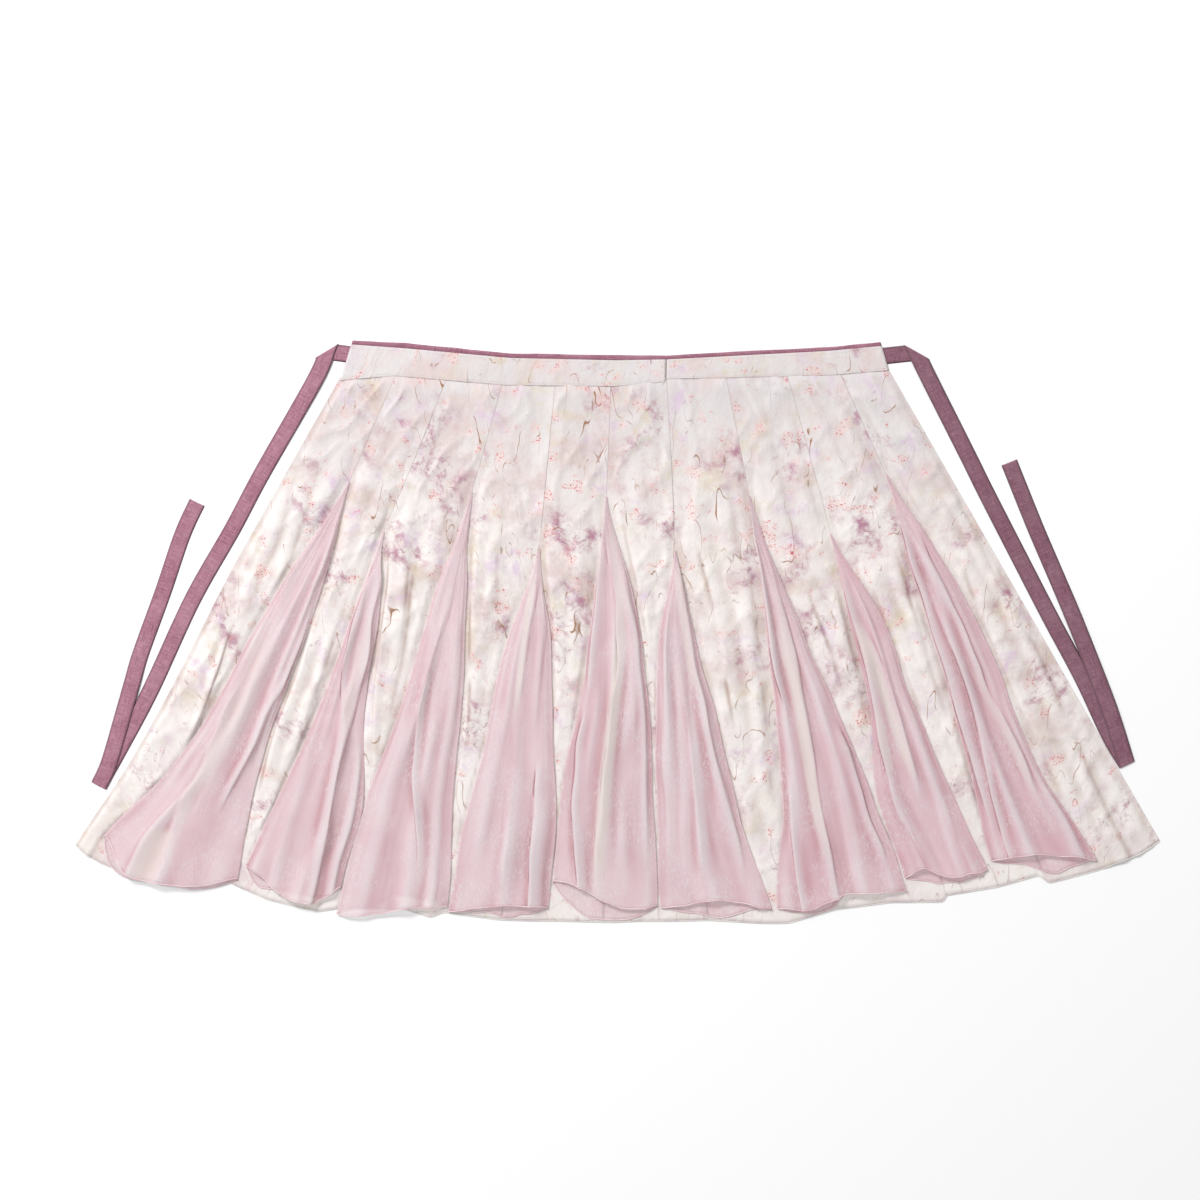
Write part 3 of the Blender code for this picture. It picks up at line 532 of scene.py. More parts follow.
def soft_noise(u, v, seed):
    """Smooth random values between -1 and 1, one for each unit square of u and v."""
    lattice = np.random.default_rng(seed).uniform(-1.0, 1.0, (LATTICE, LATTICE))
    column, row = np.floor(u).astype(int), np.floor(v).astype(int)
    across, down = ease(u - column), ease(v - row)
    left, right = column % LATTICE, (column + 1) % LATTICE
    near, far = row % LATTICE, (row + 1) % LATTICE
    upper = lattice[left, near] * (1.0 - across) + lattice[right, near] * across
    lower = lattice[left, far] * (1.0 - across) + lattice[right, far] * across
    return upper * (1.0 - down) + lower * down


def along(depth, length, seed, row=0.0):
    """Smooth random values that change with the depth alone, from one row of the noise."""
    return soft_noise(depth / length, 0.0 * depth + row, seed)


def strip(offset, place, width):
    """1 at a place, and fading out within about a width on both sides of it."""
    return np.exp(-(((offset - place) / width) ** 2))


def folded(piece, across, depth, wider=1.0):
    """Sideways move (a share across the skirt), rise, shade and light from all folds of a piece."""
    move, rise, shade, light = (np.zeros_like(across) for _ in range(4))
    for seed, (owner, line, half_width, height, lean, dark) in enumerate(ALL_FOLDS):
        if owner != piece:
            continue
        wander = WANDER * along(depth, WANDER_LENGTH, seed)
        soft = wider if abs(lean) < SHARP_LEAN else 1.0
        offset = ((across - line_across(line, depth)) * breadth(depth) + wander) / (half_width * soft)
        uneven = 0.8 + 0.35 * along(depth, UNEVEN_LENGTH, seed, 5.0)
        strength = fold_strength(line, depth) * uneven
        ridge = np.exp(-offset**2) * strength
        side = 1.0 if lean >= 0.0 else -1.0
        rise += height * ridge
        move += lean * ridge / breadth(depth)
        patchy = ease(0.8 + 0.9 * along(depth, PATCH_LENGTH, seed, 9.0))
        deep = dark * np.minimum(1.6 * patchy * strength, 1.0)
        shade = np.maximum(shade, deep * strip(side * offset, SHADE_PLACE, SHADE_WIDTH))
        bright = strength * min(height / FULL_LIGHT_HEIGHT, 1.0)
        light = np.maximum(light, bright * strip(side * offset, LIGHT_PLACE, LIGHT_WIDTH))
    return move, rise, shade, light


def paleness(piece, across, depth):
    pale = np.zeros_like(across)
    for owner, line, half_width, strength in PALE_STRIPS:
        if owner == piece:
            offset = (across - line_across(line, depth)) * breadth(depth) / half_width
            pale = np.maximum(pale, strength * fold_strength(line, depth) * np.exp(-offset**4))
    return pale


print("the longest fold runs", round(max(line[-1][1] - line[0][1] for _, line, *_ in ALL_FOLDS), 2), "m")

# %% [markdown]
# ## Sheets of cloth
# A sheet is a grid of points, row by row down the cloth. It carries a UV map in metres, so that a print or
# a weave keeps its scale, and up to three marks at each point: how deep it lies in a fold's shade, how much
# light a ridge catches there, and how much of the print shows through. Solidify gives it the thickness of
# the cloth with its hem.

# %% From a grid of points to a sheet
def new_object(name, mesh):
    piece = bpy.data.objects.new(name, mesh)
    bpy.context.scene.collection.objects.link(piece)
    return piece


def mark_points(mesh, label, values):
    """Stores one number at each point of a mesh, which its finish reads."""
    mark = mesh.attributes.new(label, "FLOAT", "POINT")
    mark.data.foreach_set("value", values.ravel().astype(np.float32))


def cloth_map(sideways, down, shift):
    """A UV map in metres, moved so that no two pieces show the same part of the cloth."""
    return np.stack((sideways + shift[0], down + shift[1]), axis=-1)


def sheet_of_cloth(name, place, uv, marks, material, thickness):
    """A sheet from grids of places (rows, columns, 3), UVs (rows, columns, 2) and its finish's marks."""
    rows, columns = place.shape[:2]
    index = np.arange(rows * columns).reshape(rows, columns)
    quads = np.stack((index[:-1, :-1], index[1:, :-1], index[1:, 1:], index[:-1, 1:]), axis=-1).reshape(-1, 4)
    mesh = bpy.data.meshes.new(name)
    mesh.from_pydata(place.reshape(-1, 3).tolist(), [], quads.tolist())
    mesh.uv_layers.new(name="cloth").data.foreach_set("uv", uv.reshape(-1, 2)[quads.ravel()].ravel())
    for label, values in marks.items():
        mark_points(mesh, label, values)
    mesh.shade_smooth()
    mesh.materials.append(material)
    piece = new_object(name, mesh)
    wall = piece.modifiers.new("cloth thickness", "SOLIDIFY")
    wall.thickness = thickness
    wall.offset = 0.0
    return piece


def grid_area(place):
    """Area of a grid of places."""
    first = np.cross(place[1:, :-1] - place[:-1, :-1], place[:-1, 1:] - place[:-1, :-1])
    second = np.cross(place[1:, :-1] - place[1:, 1:], place[:-1, 1:] - place[1:, 1:])
    return float((np.linalg.norm(first, axis=-1) + np.linalg.norm(second, axis=-1)).sum() / 2.0)


def relief(height, reach):
    """How far each point stands above the cloth on both sides of it, as far as this many columns away."""
    padded = np.pad(height, ((0, 0), (reach, reach)), mode="edge")
    total = np.cumsum(np.pad(padded, ((0, 0), (1, 0))), axis=1)
    return height - (total[:, 2 * reach + 1:] - total[:, :-2 * reach - 1]) / (2 * reach + 1)


# %% [markdown]
# ## Building finishes from nodes
# A finish is a chain of nodes: patterns that follow the cloth's UV map, mixed into one colour, and a height
# for the bump. These short helpers add one node each, so that a finish below reads as a recipe.

# %% Helpers for the finishes
def connect(tree, socket, value):
    """Links a socket or sets its value."""
    if isinstance(value, bpy.types.NodeSocket):
        tree.links.new(value, socket)
    else:
        socket.default_value = value


def put(tree, kind, inputs, output=0, **settings):
    """Adds a node and gives back one of its outputs."""
    made = tree.nodes.new(kind)
    for name, value in settings.items():
        setattr(made, name, value)
    for name, value in inputs.items():
        connect(tree, made.inputs[name], value)
    return made.outputs[output]


def noise(tree, vector, scale, detail=3.0, roughness=0.55, output=0):
    inputs = {"Vector": vector, "Scale": scale, "Detail": detail, "Roughness": roughness}
    return put(tree, "ShaderNodeTexNoise", inputs, output)


def moved(tree, vector, place=(0.0, 0.0, 0.0), turn=0.0, scale=(1.0, 1.0, 1.0)):
    inputs = {"Vector": vector, "Location": place, "Rotation": (0.0, 0.0, turn), "Scale": scale}
    return put(tree, "ShaderNodeMapping", inputs)


def window(tree, value, low, high, most=1.0):
    """0 where the value is under low, most where it is over high."""
    inputs = {"Value": value, "From Min": low, "From Max": high, "To Min": 0.0, "To Max": most}
    return put(tree, "ShaderNodeMapRange", inputs, interpolation_type="SMOOTHSTEP")


def maths(tree, operation, first, second=0.0):
    made = tree.nodes.new("ShaderNodeMath")
    made.operation = operation
    connect(tree, made.inputs[0], first)
    connect(tree, made.inputs[1], second)
    return made.outputs[0]


def times(tree, first, second):
    return maths(tree, "MULTIPLY", first, second)


def tint(tree, amount, under, over, mode="MIX"):
    """Lays one colour over another, by an amount from 0 to 1."""
    made = tree.nodes.new("ShaderNodeMix")
    made.data_type = "RGBA"
    made.blend_type = mode
    connect(tree, made.inputs[0], amount)
    connect(tree, made.inputs[6], under)
    connect(tree, made.inputs[7], over)
    return made.outputs[2]


def point_value(tree, name):
    return put(tree, "ShaderNodeAttribute", {}, output=2, attribute_name=name)


def finish(name, preview):
    """A new material. Gives back the material, its tree and its shader."""
    material = bpy.data.materials.new(name)
    material.use_nodes = True
    material.diffuse_color = preview
    return material, material.node_tree, material.node_tree.nodes["Principled BSDF"]


def bump(tree, shader, height, strength, distance):
    normal = put(tree, "ShaderNodeBump", {"Height": height, "Strength": strength, "Distance": distance})
    tree.links.new(normal, shader.inputs["Normal"])


print("helpers for the finishes are ready")

# %% [markdown]
# ## The printed cloth
# The gores are a smooth cream cloth with an ink-wash print: clouds of grey mauve, thin washes of ochre,
# short twigs in brown ink and sprays of tiny crimson dots. This is a print of the same kind and colours in
# a layout of its own: each layer is a noise that is cut off at a level, so its patches have soft edges on
# one side and dense cores, as wet ink has. The twigs are the thin contour line of a noise, kept only in
# short stretches.

# %% Finish of the printed cloth
IVORY = (0.87, 0.83, 0.805, 1.0)
CREAM = (0.755, 0.695, 0.675, 1.0)
DUSTY_VEIL = (0.66, 0.55, 0.535, 1.0)
# Painted shade near the waistband
WAIST_PAINTED_SHADE = (0.82, 0.82, 0.845, 1.0)
MAUVE_WASH = (0.44, 0.22, 0.30, 1.0)
LILAC_WASH = (0.64, 0.47, 0.64, 1.0)
OCHRE_WASH = (0.63, 0.52, 0.35, 1.0)
TWIG_INK = (0.33, 0.17, 0.10, 1.0)
DEEP_INK = (0.30, 0.11, 0.17, 1.0)
BLUSH = (0.84, 0.50, 0.46, 1.0)
CRIMSON = (0.52, 0.05, 0.08, 1.0)
# Painted shade, mixed in by the fold_shade mark
PAINTED_SHADE_BROWN = (0.42, 0.27, 0.21, 1.0)


def pushed(tree, vector, scale, reach):
    """The cloth's map pushed about by a noise, so that what is drawn on it runs like wet ink."""
    push = noise(tree, vector, scale, 3.0, 0.65, output=1)
    made = tree.nodes.new("ShaderNodeVectorMath")
    made.operation = "MULTIPLY_ADD"
    connect(tree, made.inputs[0], push)
    made.inputs[1].default_value = (reach, reach, 0.0)
    connect(tree, made.inputs[2], vector)
    return made.outputs[0]


def wash(tree, uv, place, colour, over, area, grain, most):
    """A wash of colour: soft areas, filled with the grain of a brush. Both are (scale, low, high)."""
    spot = moved(tree, uv, (*place, 0.0), place[0])
    areas = window(tree, noise(tree, spot, area[0], 2.0, 0.5), area[1], area[2])
    brush = window(tree, noise(tree, spot, grain[0], 4.0, 0.72), grain[1], grain[2])
    return tint(tree, times(tree, times(tree, areas, brush), most), colour, over)


def twigs(tree, uv, place, colour, scale, width, stretch, most):
    """Thin twigs: the contour line of a noise, kept only in short stretches (scale, low, high)."""
    spot = moved(tree, uv, (*place, 0.0), place[1], (1.0, 0.35, 1.0))
    level = noise(tree, spot, scale, 1.6, 0.6)
    away = maths(tree, "ABSOLUTE", maths(tree, "SUBTRACT", level, 0.5))
    kept = window(tree, noise(tree, spot, stretch[0], 3.0, 0.7), stretch[1], stretch[2], most)
    return tint(tree, times(tree, window(tree, away, width, width * 0.2), kept), colour, TWIG_INK)


def sprays(tree, uv, place, colour, scale, size, area):
    """Sprays of small dots on a blush of the same red, inside small areas (scale, low, high)."""
    spot = moved(tree, uv, (*place, 0.0))
    inside = window(tree, noise(tree, spot, area[0], 3.0, 0.55), area[1], area[2])
    colour = tint(tree, times(tree, inside, 0.28), colour, BLUSH)
    cells = put(tree, "ShaderNodeTexVoronoi", {"Vector": spot, "Scale": scale, "Randomness": 1.0})
    dots = window(tree, cells, size, size * 0.4, 0.9)
    return tint(tree, times(tree, dots, inside), colour, CRIMSON)


def painted(tree, uv):
    """The print, palest layer to darkest, with painted shade near the waist. It thins out towards the hem."""
    wet = pushed(tree, uv, 18.0, 0.026)
    object_place = put(tree, "ShaderNodeTexCoord", {}, output=3)
    upward = put(tree, "ShaderNodeSeparateXYZ", {"Vector": object_place}, output=1)
    full = maths(tree, "ADD", window(tree, upward, -0.45, 0.12, 0.42), 0.58)
    colour = tint(tree, noise(tree, uv, 6.0, 2.0), IVORY, CREAM)
    # Painted shade: the cloth is darkened towards the waistband
    colour = tint(tree, window(tree, upward, 0.10, 0.43), colour, WAIST_PAINTED_SHADE, "MULTIPLY")
    colour = wash(tree, wet, (3.1, 0.4), colour, DUSTY_VEIL, (6.5, 0.40, 0.60), (13.0, 0.38, 0.66), full)
    most = times(tree, full, 0.66)
    colour = wash(tree, wet, (1.9, 8.3), colour, OCHRE_WASH, (8.5, 0.48, 0.62), (24.0, 0.45, 0.74), most)
    colour = wash(tree, wet, (5.3, 4.1), colour, MAUVE_WASH, (9.0, 0.49, 0.62), (30.0, 0.45, 0.70), full)
    colour = wash(tree, wet, (7.7, 2.3), colour, LILAC_WASH, (12.0, 0.52, 0.64), (34.0, 0.44, 0.68), most)
    colour = wash(tree, wet, (5.3, 4.1), colour, DEEP_INK, (9.0, 0.56, 0.68), (80.0, 0.52, 0.68), 0.72)
    colour = wash(tree, wet, (8.6, 5.2), colour, TWIG_INK, (11.0, 0.55, 0.68), (80.0, 0.55, 0.72), 0.55)
    damp = pushed(tree, uv, 55.0, 0.004)
    colour = twigs(tree, damp, (9.1, 0.5), colour, 15.0, 0.0046, (21.0, 0.51, 0.60), full)
    colour = twigs(tree, damp, (2.2, 2.6), colour, 24.0, 0.0062, (27.0, 0.52, 0.60), most)
    colour = sprays(tree, wet, (4.4, 3.9), colour, 280.0, 0.42, (24.0, 0.60, 0.67))
    return sprays(tree, wet, (6.8, 9.2), colour, 190.0, 0.30, (18.0, 0.62, 0.69))


def printed_cloth():
    material, tree, shader = finish("printed_cloth", CREAM)
    uv = put(tree, "ShaderNodeUVMap", {}, uv_map="cloth")
    colour = painted(tree, uv)
    # Painted shade: the fold_shade mark darkens the print in folds, hollows, seams, beside godets and at the
    # band's edge
    painted_shade = times(tree, point_value(tree, "fold_shade"), 0.85)
    colour = tint(tree, painted_shade, colour, PAINTED_SHADE_BROWN, "MULTIPLY")
    connect(tree, shader.inputs["Base Color"], colour)
    shader.inputs["Roughness"].default_value = 0.72
    shader.inputs["Specular IOR Level"].default_value = 0.3
    shader.inputs["Sheen Weight"].default_value = 0.12
    crumples = noise(tree, moved(tree, uv, turn=0.4, scale=(1.0, 0.6, 1.0)), 26.0, 4.0, 0.6)
    weave = noise(tree, uv, 1700.0, 1.0)
    height = maths(tree, "ADD", crumples, times(tree, weave, 0.05))
    bump(tree, shader, height, 0.7, 0.005)
    return material


print_material = printed_cloth()
print("printed cloth has", len(print_material.node_tree.nodes), "nodes")

# %% [markdown]
# ## The gores
# A gore is cut as a long wedge. In the laid skirt it lies flat where a godet covers it, and rises in soft
# folds between the godets. It is gathered a little at the waist, so short puckers run down from the band
# and die out within a hand's breadth. Above the godets' tips the gores are sewn edge to edge, so neighbours
# rise together there and a seam shows as a fine dark line. All crumples come from one noise over the whole
# skirt for the same reason.

# %% Making the gores
GORE_ROWS = 168
GORE_COLUMNS = 50
CLOTH_THICKNESS = 0.0006
GORE_LEVEL = 0.0006
HALF_GAP = 0.00005
GORE_HELD_SHARE = 0.15
GORE_NARROW = 0.045
GORE_FOLD_WIDENING = 1.7
GORE_FOLD_SHARE = 0.85
GORE_MOVE_SHARE = 0.8
UPPER_FOLD_SHARE = 0.28
PUCKER_DEPTH = 0.04
PUCKER_HEIGHT = 0.0006
PUCKER_SPACING = (0.009, 0.05)
CRUMPLE_HEIGHT = 0.0024
CALM_DEPTHS = (0.12, 0.42)
LOOSE_ABOVE_TIP = (0.06, 0.012)
WAIST_HOLD = 0.03
HOLLOW_SHADE = 0.30
HOLLOW_DEPTH = 0.0015
SEAM_SHADE = 0.24
SEAM_LINE = 0.0008
SEAM_END = 0.985
CONTACT_SHADE = 0.95
CONTACT_WIDTH = 0.0020
CONTACT_LENGTH = 0.035
PRINT_SHIFT = (0.71, 1.37)

# Columns: gore, place and width as shares across its free part, height, start and end as shares of its length
GORE_SWELLS = (
    (1, 0.35, 0.14, 0.005, 0.06, 0.70), (1, 0.68, 0.13, 0.006, 0.10, 0.80),
    (2, 0.28, 0.13, 0.005, 0.05, 0.55), (2, 0.66, 0.14, 0.006, 0.12, 0.75),
    (3, 0.32, 0.13, 0.006, 0.08, 0.60), (3, 0.70, 0.12, 0.005, 0.03, 0.45),
    (4, 0.40, 0.14, 0.005, 0.10, 0.70), (4, 0.72, 0.12, 0.004, 0.15, 0.50),
    (5, 0.30, 0.12, 0.004, 0.06, 0.50), (5, 0.62, 0.14, 0.005, 0.20, 0.75),
    (6, 0.45, 0.14, 0.005, 0.05, 0.60), (7, 0.30, 0.12, 0.005, 0.12, 0.60),
    (7, 0.66, 0.14, 0.006, 0.08, 0.85), (8, 0.34, 0.13, 0.006, 0.06, 0.70),
    (8, 0.72, 0.12, 0.005, 0.10, 0.45), (9, 0.30, 0.13, 0.006, 0.08, 0.65),
    (9, 0.68, 0.13, 0.006, 0.15, 0.80), (10, 0.36, 0.13, 0.006, 0.05, 0.75),
    (10, 0.70, 0.13, 0.005, 0.12, 0.85),
)
SWELL_RAMP = 0.18
GORE_SWELL_SHARE = 0.22

# How much the creases slant to each side, and how far apart creases and dents lie across and down the cloth
CREASE_SLANTS = (0.8, -0.6)
CREASE_SPACINGS = ((0.052, 0.085), (0.046, 0.080))
DENT_SPACING = (0.06, 0.08)


def swells(rows, number, place, down):
    """Height of the construction model's own broad folds."""
    height = np.zeros_like(place)
    for owner, middle, width, rise, start, end in rows:
        if owner == number:
            grow = between(down, (start, start + SWELL_RAMP))
            fade = 1.0 if end >= 1.0 else 1.0 - between(down, (end - SWELL_RAMP, end))
            height += rise * grow * fade * strip(place, middle, width)
    return height


def held(place, share):
    """0 at both sides of a piece, and 1 further in than this share of its width."""
    return ease(place / share) * ease((1.0 - place) / share)


def slanted_noise(wide, depth, slant, spacing, seed):
    """Noise on a grid that slants, with its own spacing across the slant and along it."""
    return soft_noise((wide + slant * depth) / spacing[0], (depth - slant * wide) / spacing[1], seed)


def crumple(wide, depth, seed):
    """Short slanted creases and soft dents, as cloth gets when it is smoothed out by hand."""
    left = slanted_noise(wide, depth, CREASE_SLANTS[0], CREASE_SPACINGS[0], seed)
    right = slanted_noise(wide, depth, CREASE_SLANTS[1], CREASE_SPACINGS[1], seed + 7)
    dents = soft_noise(wide / DENT_SPACING[0] + 1.5 * depth, depth / DENT_SPACING[1] - 2.0 * wide, seed + 13)
    return (1.0 - np.abs(left)) ** 4 + 0.9 * (1.0 - np.abs(right)) ** 4 + 0.7 * (1.0 + dents)


def gore_grid(number):
    """A gore's points: shares down it and across the skirt, depth, place in the free part, distance from a
    godet's edge, and freedom to rise."""
    share = np.linspace(0.0, 1.0, GORE_ROWS)[:, None]
    side = np.array((0.0, 0.004, 0.012))
    column = np.concatenate((side, np.linspace(0.025, 0.975, GORE_COLUMNS), 1.0 - side[::-1]))[None, :]
    nominal = NOMINAL_DROP * share
    left, right = seam_across(number - 1, nominal), seam_across(number, nominal)
    gap = HALF_GAP / breadth(nominal)
    inner_left = left + (gap if number > 1 else 0.0)
    inner_right = right - (gap if number <= len(SEAMS) else 0.0)
    across = inner_left + (inner_right - inner_left) * column
    top = waist_line(1, across) - waist_line(2, across) - TUCK
    depth = top * (1.0 - share) + np.interp(across, HEM[:, 0], HEM[:, 1]) * share
    least = EDGE_SHARE * (right - left)
    free_left, free_right = left + least, right - least
    away = np.ones_like(across)
    if number > 1:
        cover = covered_part(number - 1, nominal, 1)
        free_left = left + np.maximum(cover, least)
        from_edge = np.abs(across - left - cover) * breadth(depth) + FREE_MARGIN / 2.0
        away = np.where(cover > 0.0, from_edge, 1.0)
    if number <= len(SEAMS):
        cover = covered_part(number, nominal, 0)
        free_right = right - np.maximum(cover, least)
        from_edge = np.abs(right - cover - across) * breadth(depth) + FREE_MARGIN / 2.0
        away = np.minimum(away, np.where(cover > 0.0, from_edge, 1.0))
    place = np.clip((across - free_left) / (free_right - free_left), 0.0, 1.0)
    free = ease((free_right - free_left) * breadth(depth) / GORE_NARROW)
    for seam, near in ((number - 1, place), (number, 1.0 - place)):
        loose = 0.0
        if 0 < seam <= len(SEAMS):
            tip_depth = GODETS[seam - 1][1]
            loose = 1.0 - between(nominal, (tip_depth - LOOSE_ABOVE_TIP[0], tip_depth - LOOSE_ABOVE_TIP[1]))
        free = free * np.maximum(ease(near / GORE_HELD_SHARE), loose)
    return share + 0.0 * across, across, depth, place, away, free


def make_gore(number):
    name = f"gore_{number}"
    share, across, depth, place, away, free = gore_grid(number)
    wide = (across - 0.5) * breadth(depth)
    move, rise, shade, _ = folded(name, across, depth, GORE_FOLD_WIDENING)
    near_waist = np.exp(-np.maximum(depth, 0.0) / PUCKER_DEPTH)
    gathers = soft_noise(wide / PUCKER_SPACING[0], depth / PUCKER_SPACING[1], seed=20)
    pucker = PUCKER_HEIGHT * (1.0 + gathers) * near_waist
    calmer = UPPER_FOLD_SHARE + (1.0 - UPPER_FOLD_SHARE) * between(depth, CALM_DEPTHS)
    height = GORE_SWELL_SHARE * swells(GORE_SWELLS, number, place, share)
    height = height + GORE_FOLD_SHARE * calmer * rise + pucker
    height = height + CRUMPLE_HEIGHT * crumple(wide, depth, seed=3)
    height = free * height * ease((share + 0.002) / WAIST_HOLD)
    seam_distance = np.minimum(across - across[:, :1], across[:, -1:] - across) * breadth(depth)
    beside_seam = strip(seam_distance, 0.0, SEAM_LINE) * (share < SEAM_END)
    contact = ease(0.5 + 1.3 * along(depth, CONTACT_LENGTH, number + 30, place > 0.5))
    contact = CONTACT_SHADE * contact * strip(away, 0.0, CONTACT_WIDTH)
    hollow = HOLLOW_SHADE * np.clip(-relief(height, 5) / HOLLOW_DEPTH, 0.0, 1.0)
    shade = np.maximum(np.maximum(shade * free * calmer + hollow, SEAM_SHADE * beside_seam), contact)
    x, y = fan(across + GORE_MOVE_SHARE * move * free * calmer, depth)
    uv = cloth_map(wide, depth, (PRINT_SHIFT[0] * number, PRINT_SHIFT[1] * number))
    grid = np.stack((x, y, GORE_LEVEL + height), axis=-1)
    flat_x, flat_y = fan(across, depth)
    area = grid_area(np.stack((flat_x, flat_y, 0.0 * flat_x), axis=-1))
    marks = {"fold_shade": shade}
    sheet = sheet_of_cloth(f"printed_gore_{number}", grid, uv, marks, print_material, CLOTH_THICKNESS)
    return sheet, grid, area


gores = {number: make_gore(number) for number in range(1, len(SEAMS) + 2)}
print("flat area of the gores in m2:", round(sum(area for _, _, area in gores.values()), 2))

# %% [markdown]
# ## The chiffon
# Chiffon is a sheer plain weave of fine twisted yarns. One layer lets most of the cloth under it through,
# and two or three layers turn it into a full dusty pink, so the finish is partly see-through and the layers
# do the rest. Long pale and dark streaks follow the fall of the cloth, so they are drawn on a UV map that
# narrows to the tip.

# %% Finish of the chiffon
CHIFFON_LIGHT = (1.0, 0.815, 0.855, 1.0)
CHIFFON_DEEP = (0.87, 0.61, 0.665, 1.0)
CHIFFON_HIGHLIGHT = (1.0, 0.97, 0.985, 1.0)
CHIFFON_FOLD_SHADE = (0.66, 0.33, 0.36, 1.0)
CHIFFON_CREASE_SHADE = (0.30, 0.11, 0.12, 1.0)
CHIFFON_RIGHT_TINT = (1.0, 0.92, 0.945, 1.0)
CHIFFON_ALPHA = 0.35
ONE_LAYER = (1.0, 0.90, 0.86, 1.0)


def chiffon(name, alpha):
    material, tree, shader = finish(name, CHIFFON_LIGHT)
    uv = put(tree, "ShaderNodeUVMap", {}, uv_map="cloth")
    place = put(tree, "ShaderNodeTexCoord", {}, output=3)
    streaks = noise(tree, moved(tree, uv, scale=(1.0, 0.14, 1.0)), 19.0, 3.0, 0.55)
    colour = tint(tree, window(tree, streaks, 0.30, 0.70), CHIFFON_LIGHT, CHIFFON_DEEP)
    clouds = noise(tree, place, 8.0, 3.0, 0.6)
    colour = tint(tree, window(tree, clouds, 0.48, 0.72, 0.6), colour, CHIFFON_LIGHT)
    # Darker and pinker towards the skirt's right side
    rightward = put(tree, "ShaderNodeSeparateXYZ", {"Vector": place}, output=0)
    colour = tint(tree, window(tree, rightward, 0.05, 0.50), colour, CHIFFON_RIGHT_TINT, "MULTIPLY")
    # Painted highlight along the ridges of folds
    colour = tint(tree, times(tree, point_value(tree, "ridge_light"), 0.75), colour, CHIFFON_HIGHLIGHT)
    yarns = noise(tree, place, 380.0, 1.0, 0.7)
    colour = tint(tree, window(tree, yarns, 0.40, 0.70, 0.30), colour, CHIFFON_DEEP)
    shade = point_value(tree, "fold_shade")
    # Painted shade beside folds and in hollows
    colour = tint(tree, window(tree, shade, 0.0, 0.7, 0.85), colour, CHIFFON_FOLD_SHADE)
    colour = tint(tree, point_value(tree, "paleness"), colour, ONE_LAYER)
    # Painted glints: pale flecks in patches, in the colour of the painted highlight
    painted_glints = noise(tree, moved(tree, uv, turn=0.2, scale=(1.0, 0.25, 1.0)), 400.0, 2.0, 0.8)
    patches = window(tree, noise(tree, place, 12.0, 2.0, 0.65), 0.42, 0.58)
    colour = tint(tree, times(tree, window(tree, painted_glints, 0.48, 0.68, 0.8), patches), colour, CHIFFON_HIGHLIGHT)
    # Darker painted shade in the deepest creases
    colour = tint(tree, window(tree, shade, 0.46, 0.82, 0.95), colour, CHIFFON_CREASE_SHADE)
    connect(tree, shader.inputs["Base Color"], colour)
    shader.inputs["Roughness"].default_value = 0.6
    shader.inputs["Specular IOR Level"].default_value = 0.35
    shader.inputs["Sheen Weight"].default_value = 0.25
    shader.inputs["Alpha"].default_value = alpha
    wrinkles = noise(tree, moved(tree, uv, scale=(1.0, 0.45, 1.0)), 24.0, 3.0, 0.6)
    weave = noise(tree, place, 1500.0, 1.0)
    bump(tree, shader, maths(tree, "ADD", wrinkles, times(tree, weave, 0.05)), 0.6, 0.006)
    return material


chiffon_material = chiffon("chiffon", CHIFFON_ALPHA)
FACES_OF_TWO_LAYERS = 4
seen_through = (1.0 - CHIFFON_ALPHA) ** FACES_OF_TWO_LAYERS
print("two layers of chiffon cover", round(1.0 - seen_through, 2), "of the print")

# %% [markdown]
# ## The godets
# Sewn in at its two edges, a godet has nowhere to go when the skirt is laid flat: its edges stay at the
# seam, and its middle rolls out to both sides as a flattened fold. So its section is an omega: a layer from
# the seam out to the left fold, the wide top layer back across to the right fold, and a layer in to the
# seam again. The rows run from the tip, where it is a point, to the hem.

# %% Making the godets
GODET_ROWS = 112
GODET_COLUMNS = 70
UNDER_COLUMNS = 13
TURN_COLUMNS = 5
GODET_FLOOR = 0.0020
TURN_RADIUS = 0.0013
TIP_RADIUS = 0.0004
GODET_SWELL = 0.0025
GODET_RIPPLE = 0.0014
RIPPLE_SPACING = (0.042, 0.16)
FINE_RIPPLE_SPACING = (0.018, 0.11)
FINE_RIPPLE_SHARE = 0.35
GODET_SWELL_SHARE = 0.7
GODET_FOLD_WIDENING = 1.4
EDGE_WAVE = 0.0024
EDGE_WAVE_LENGTH = 0.07
GODET_HELD_SHARE = 0.10
HEM_FLUTTER = 0.0018
UNDER_HEM_WOBBLE = 0.003
HEM_WOBBLE = 0.002
HEM_CHANGES = (0.75, 1.0)
FLUTTERS = (0.9, 1.0)
SIDE_CHANGE = 0.05
RIDGE_HEIGHT = 0.0018
RIDGE_LIGHT = 0.95
VALLEY_SHADE = 0.50
CHIFFON_THICKNESS = 0.0004
CHIFFON_SHIFT = (0.43, 0.91)

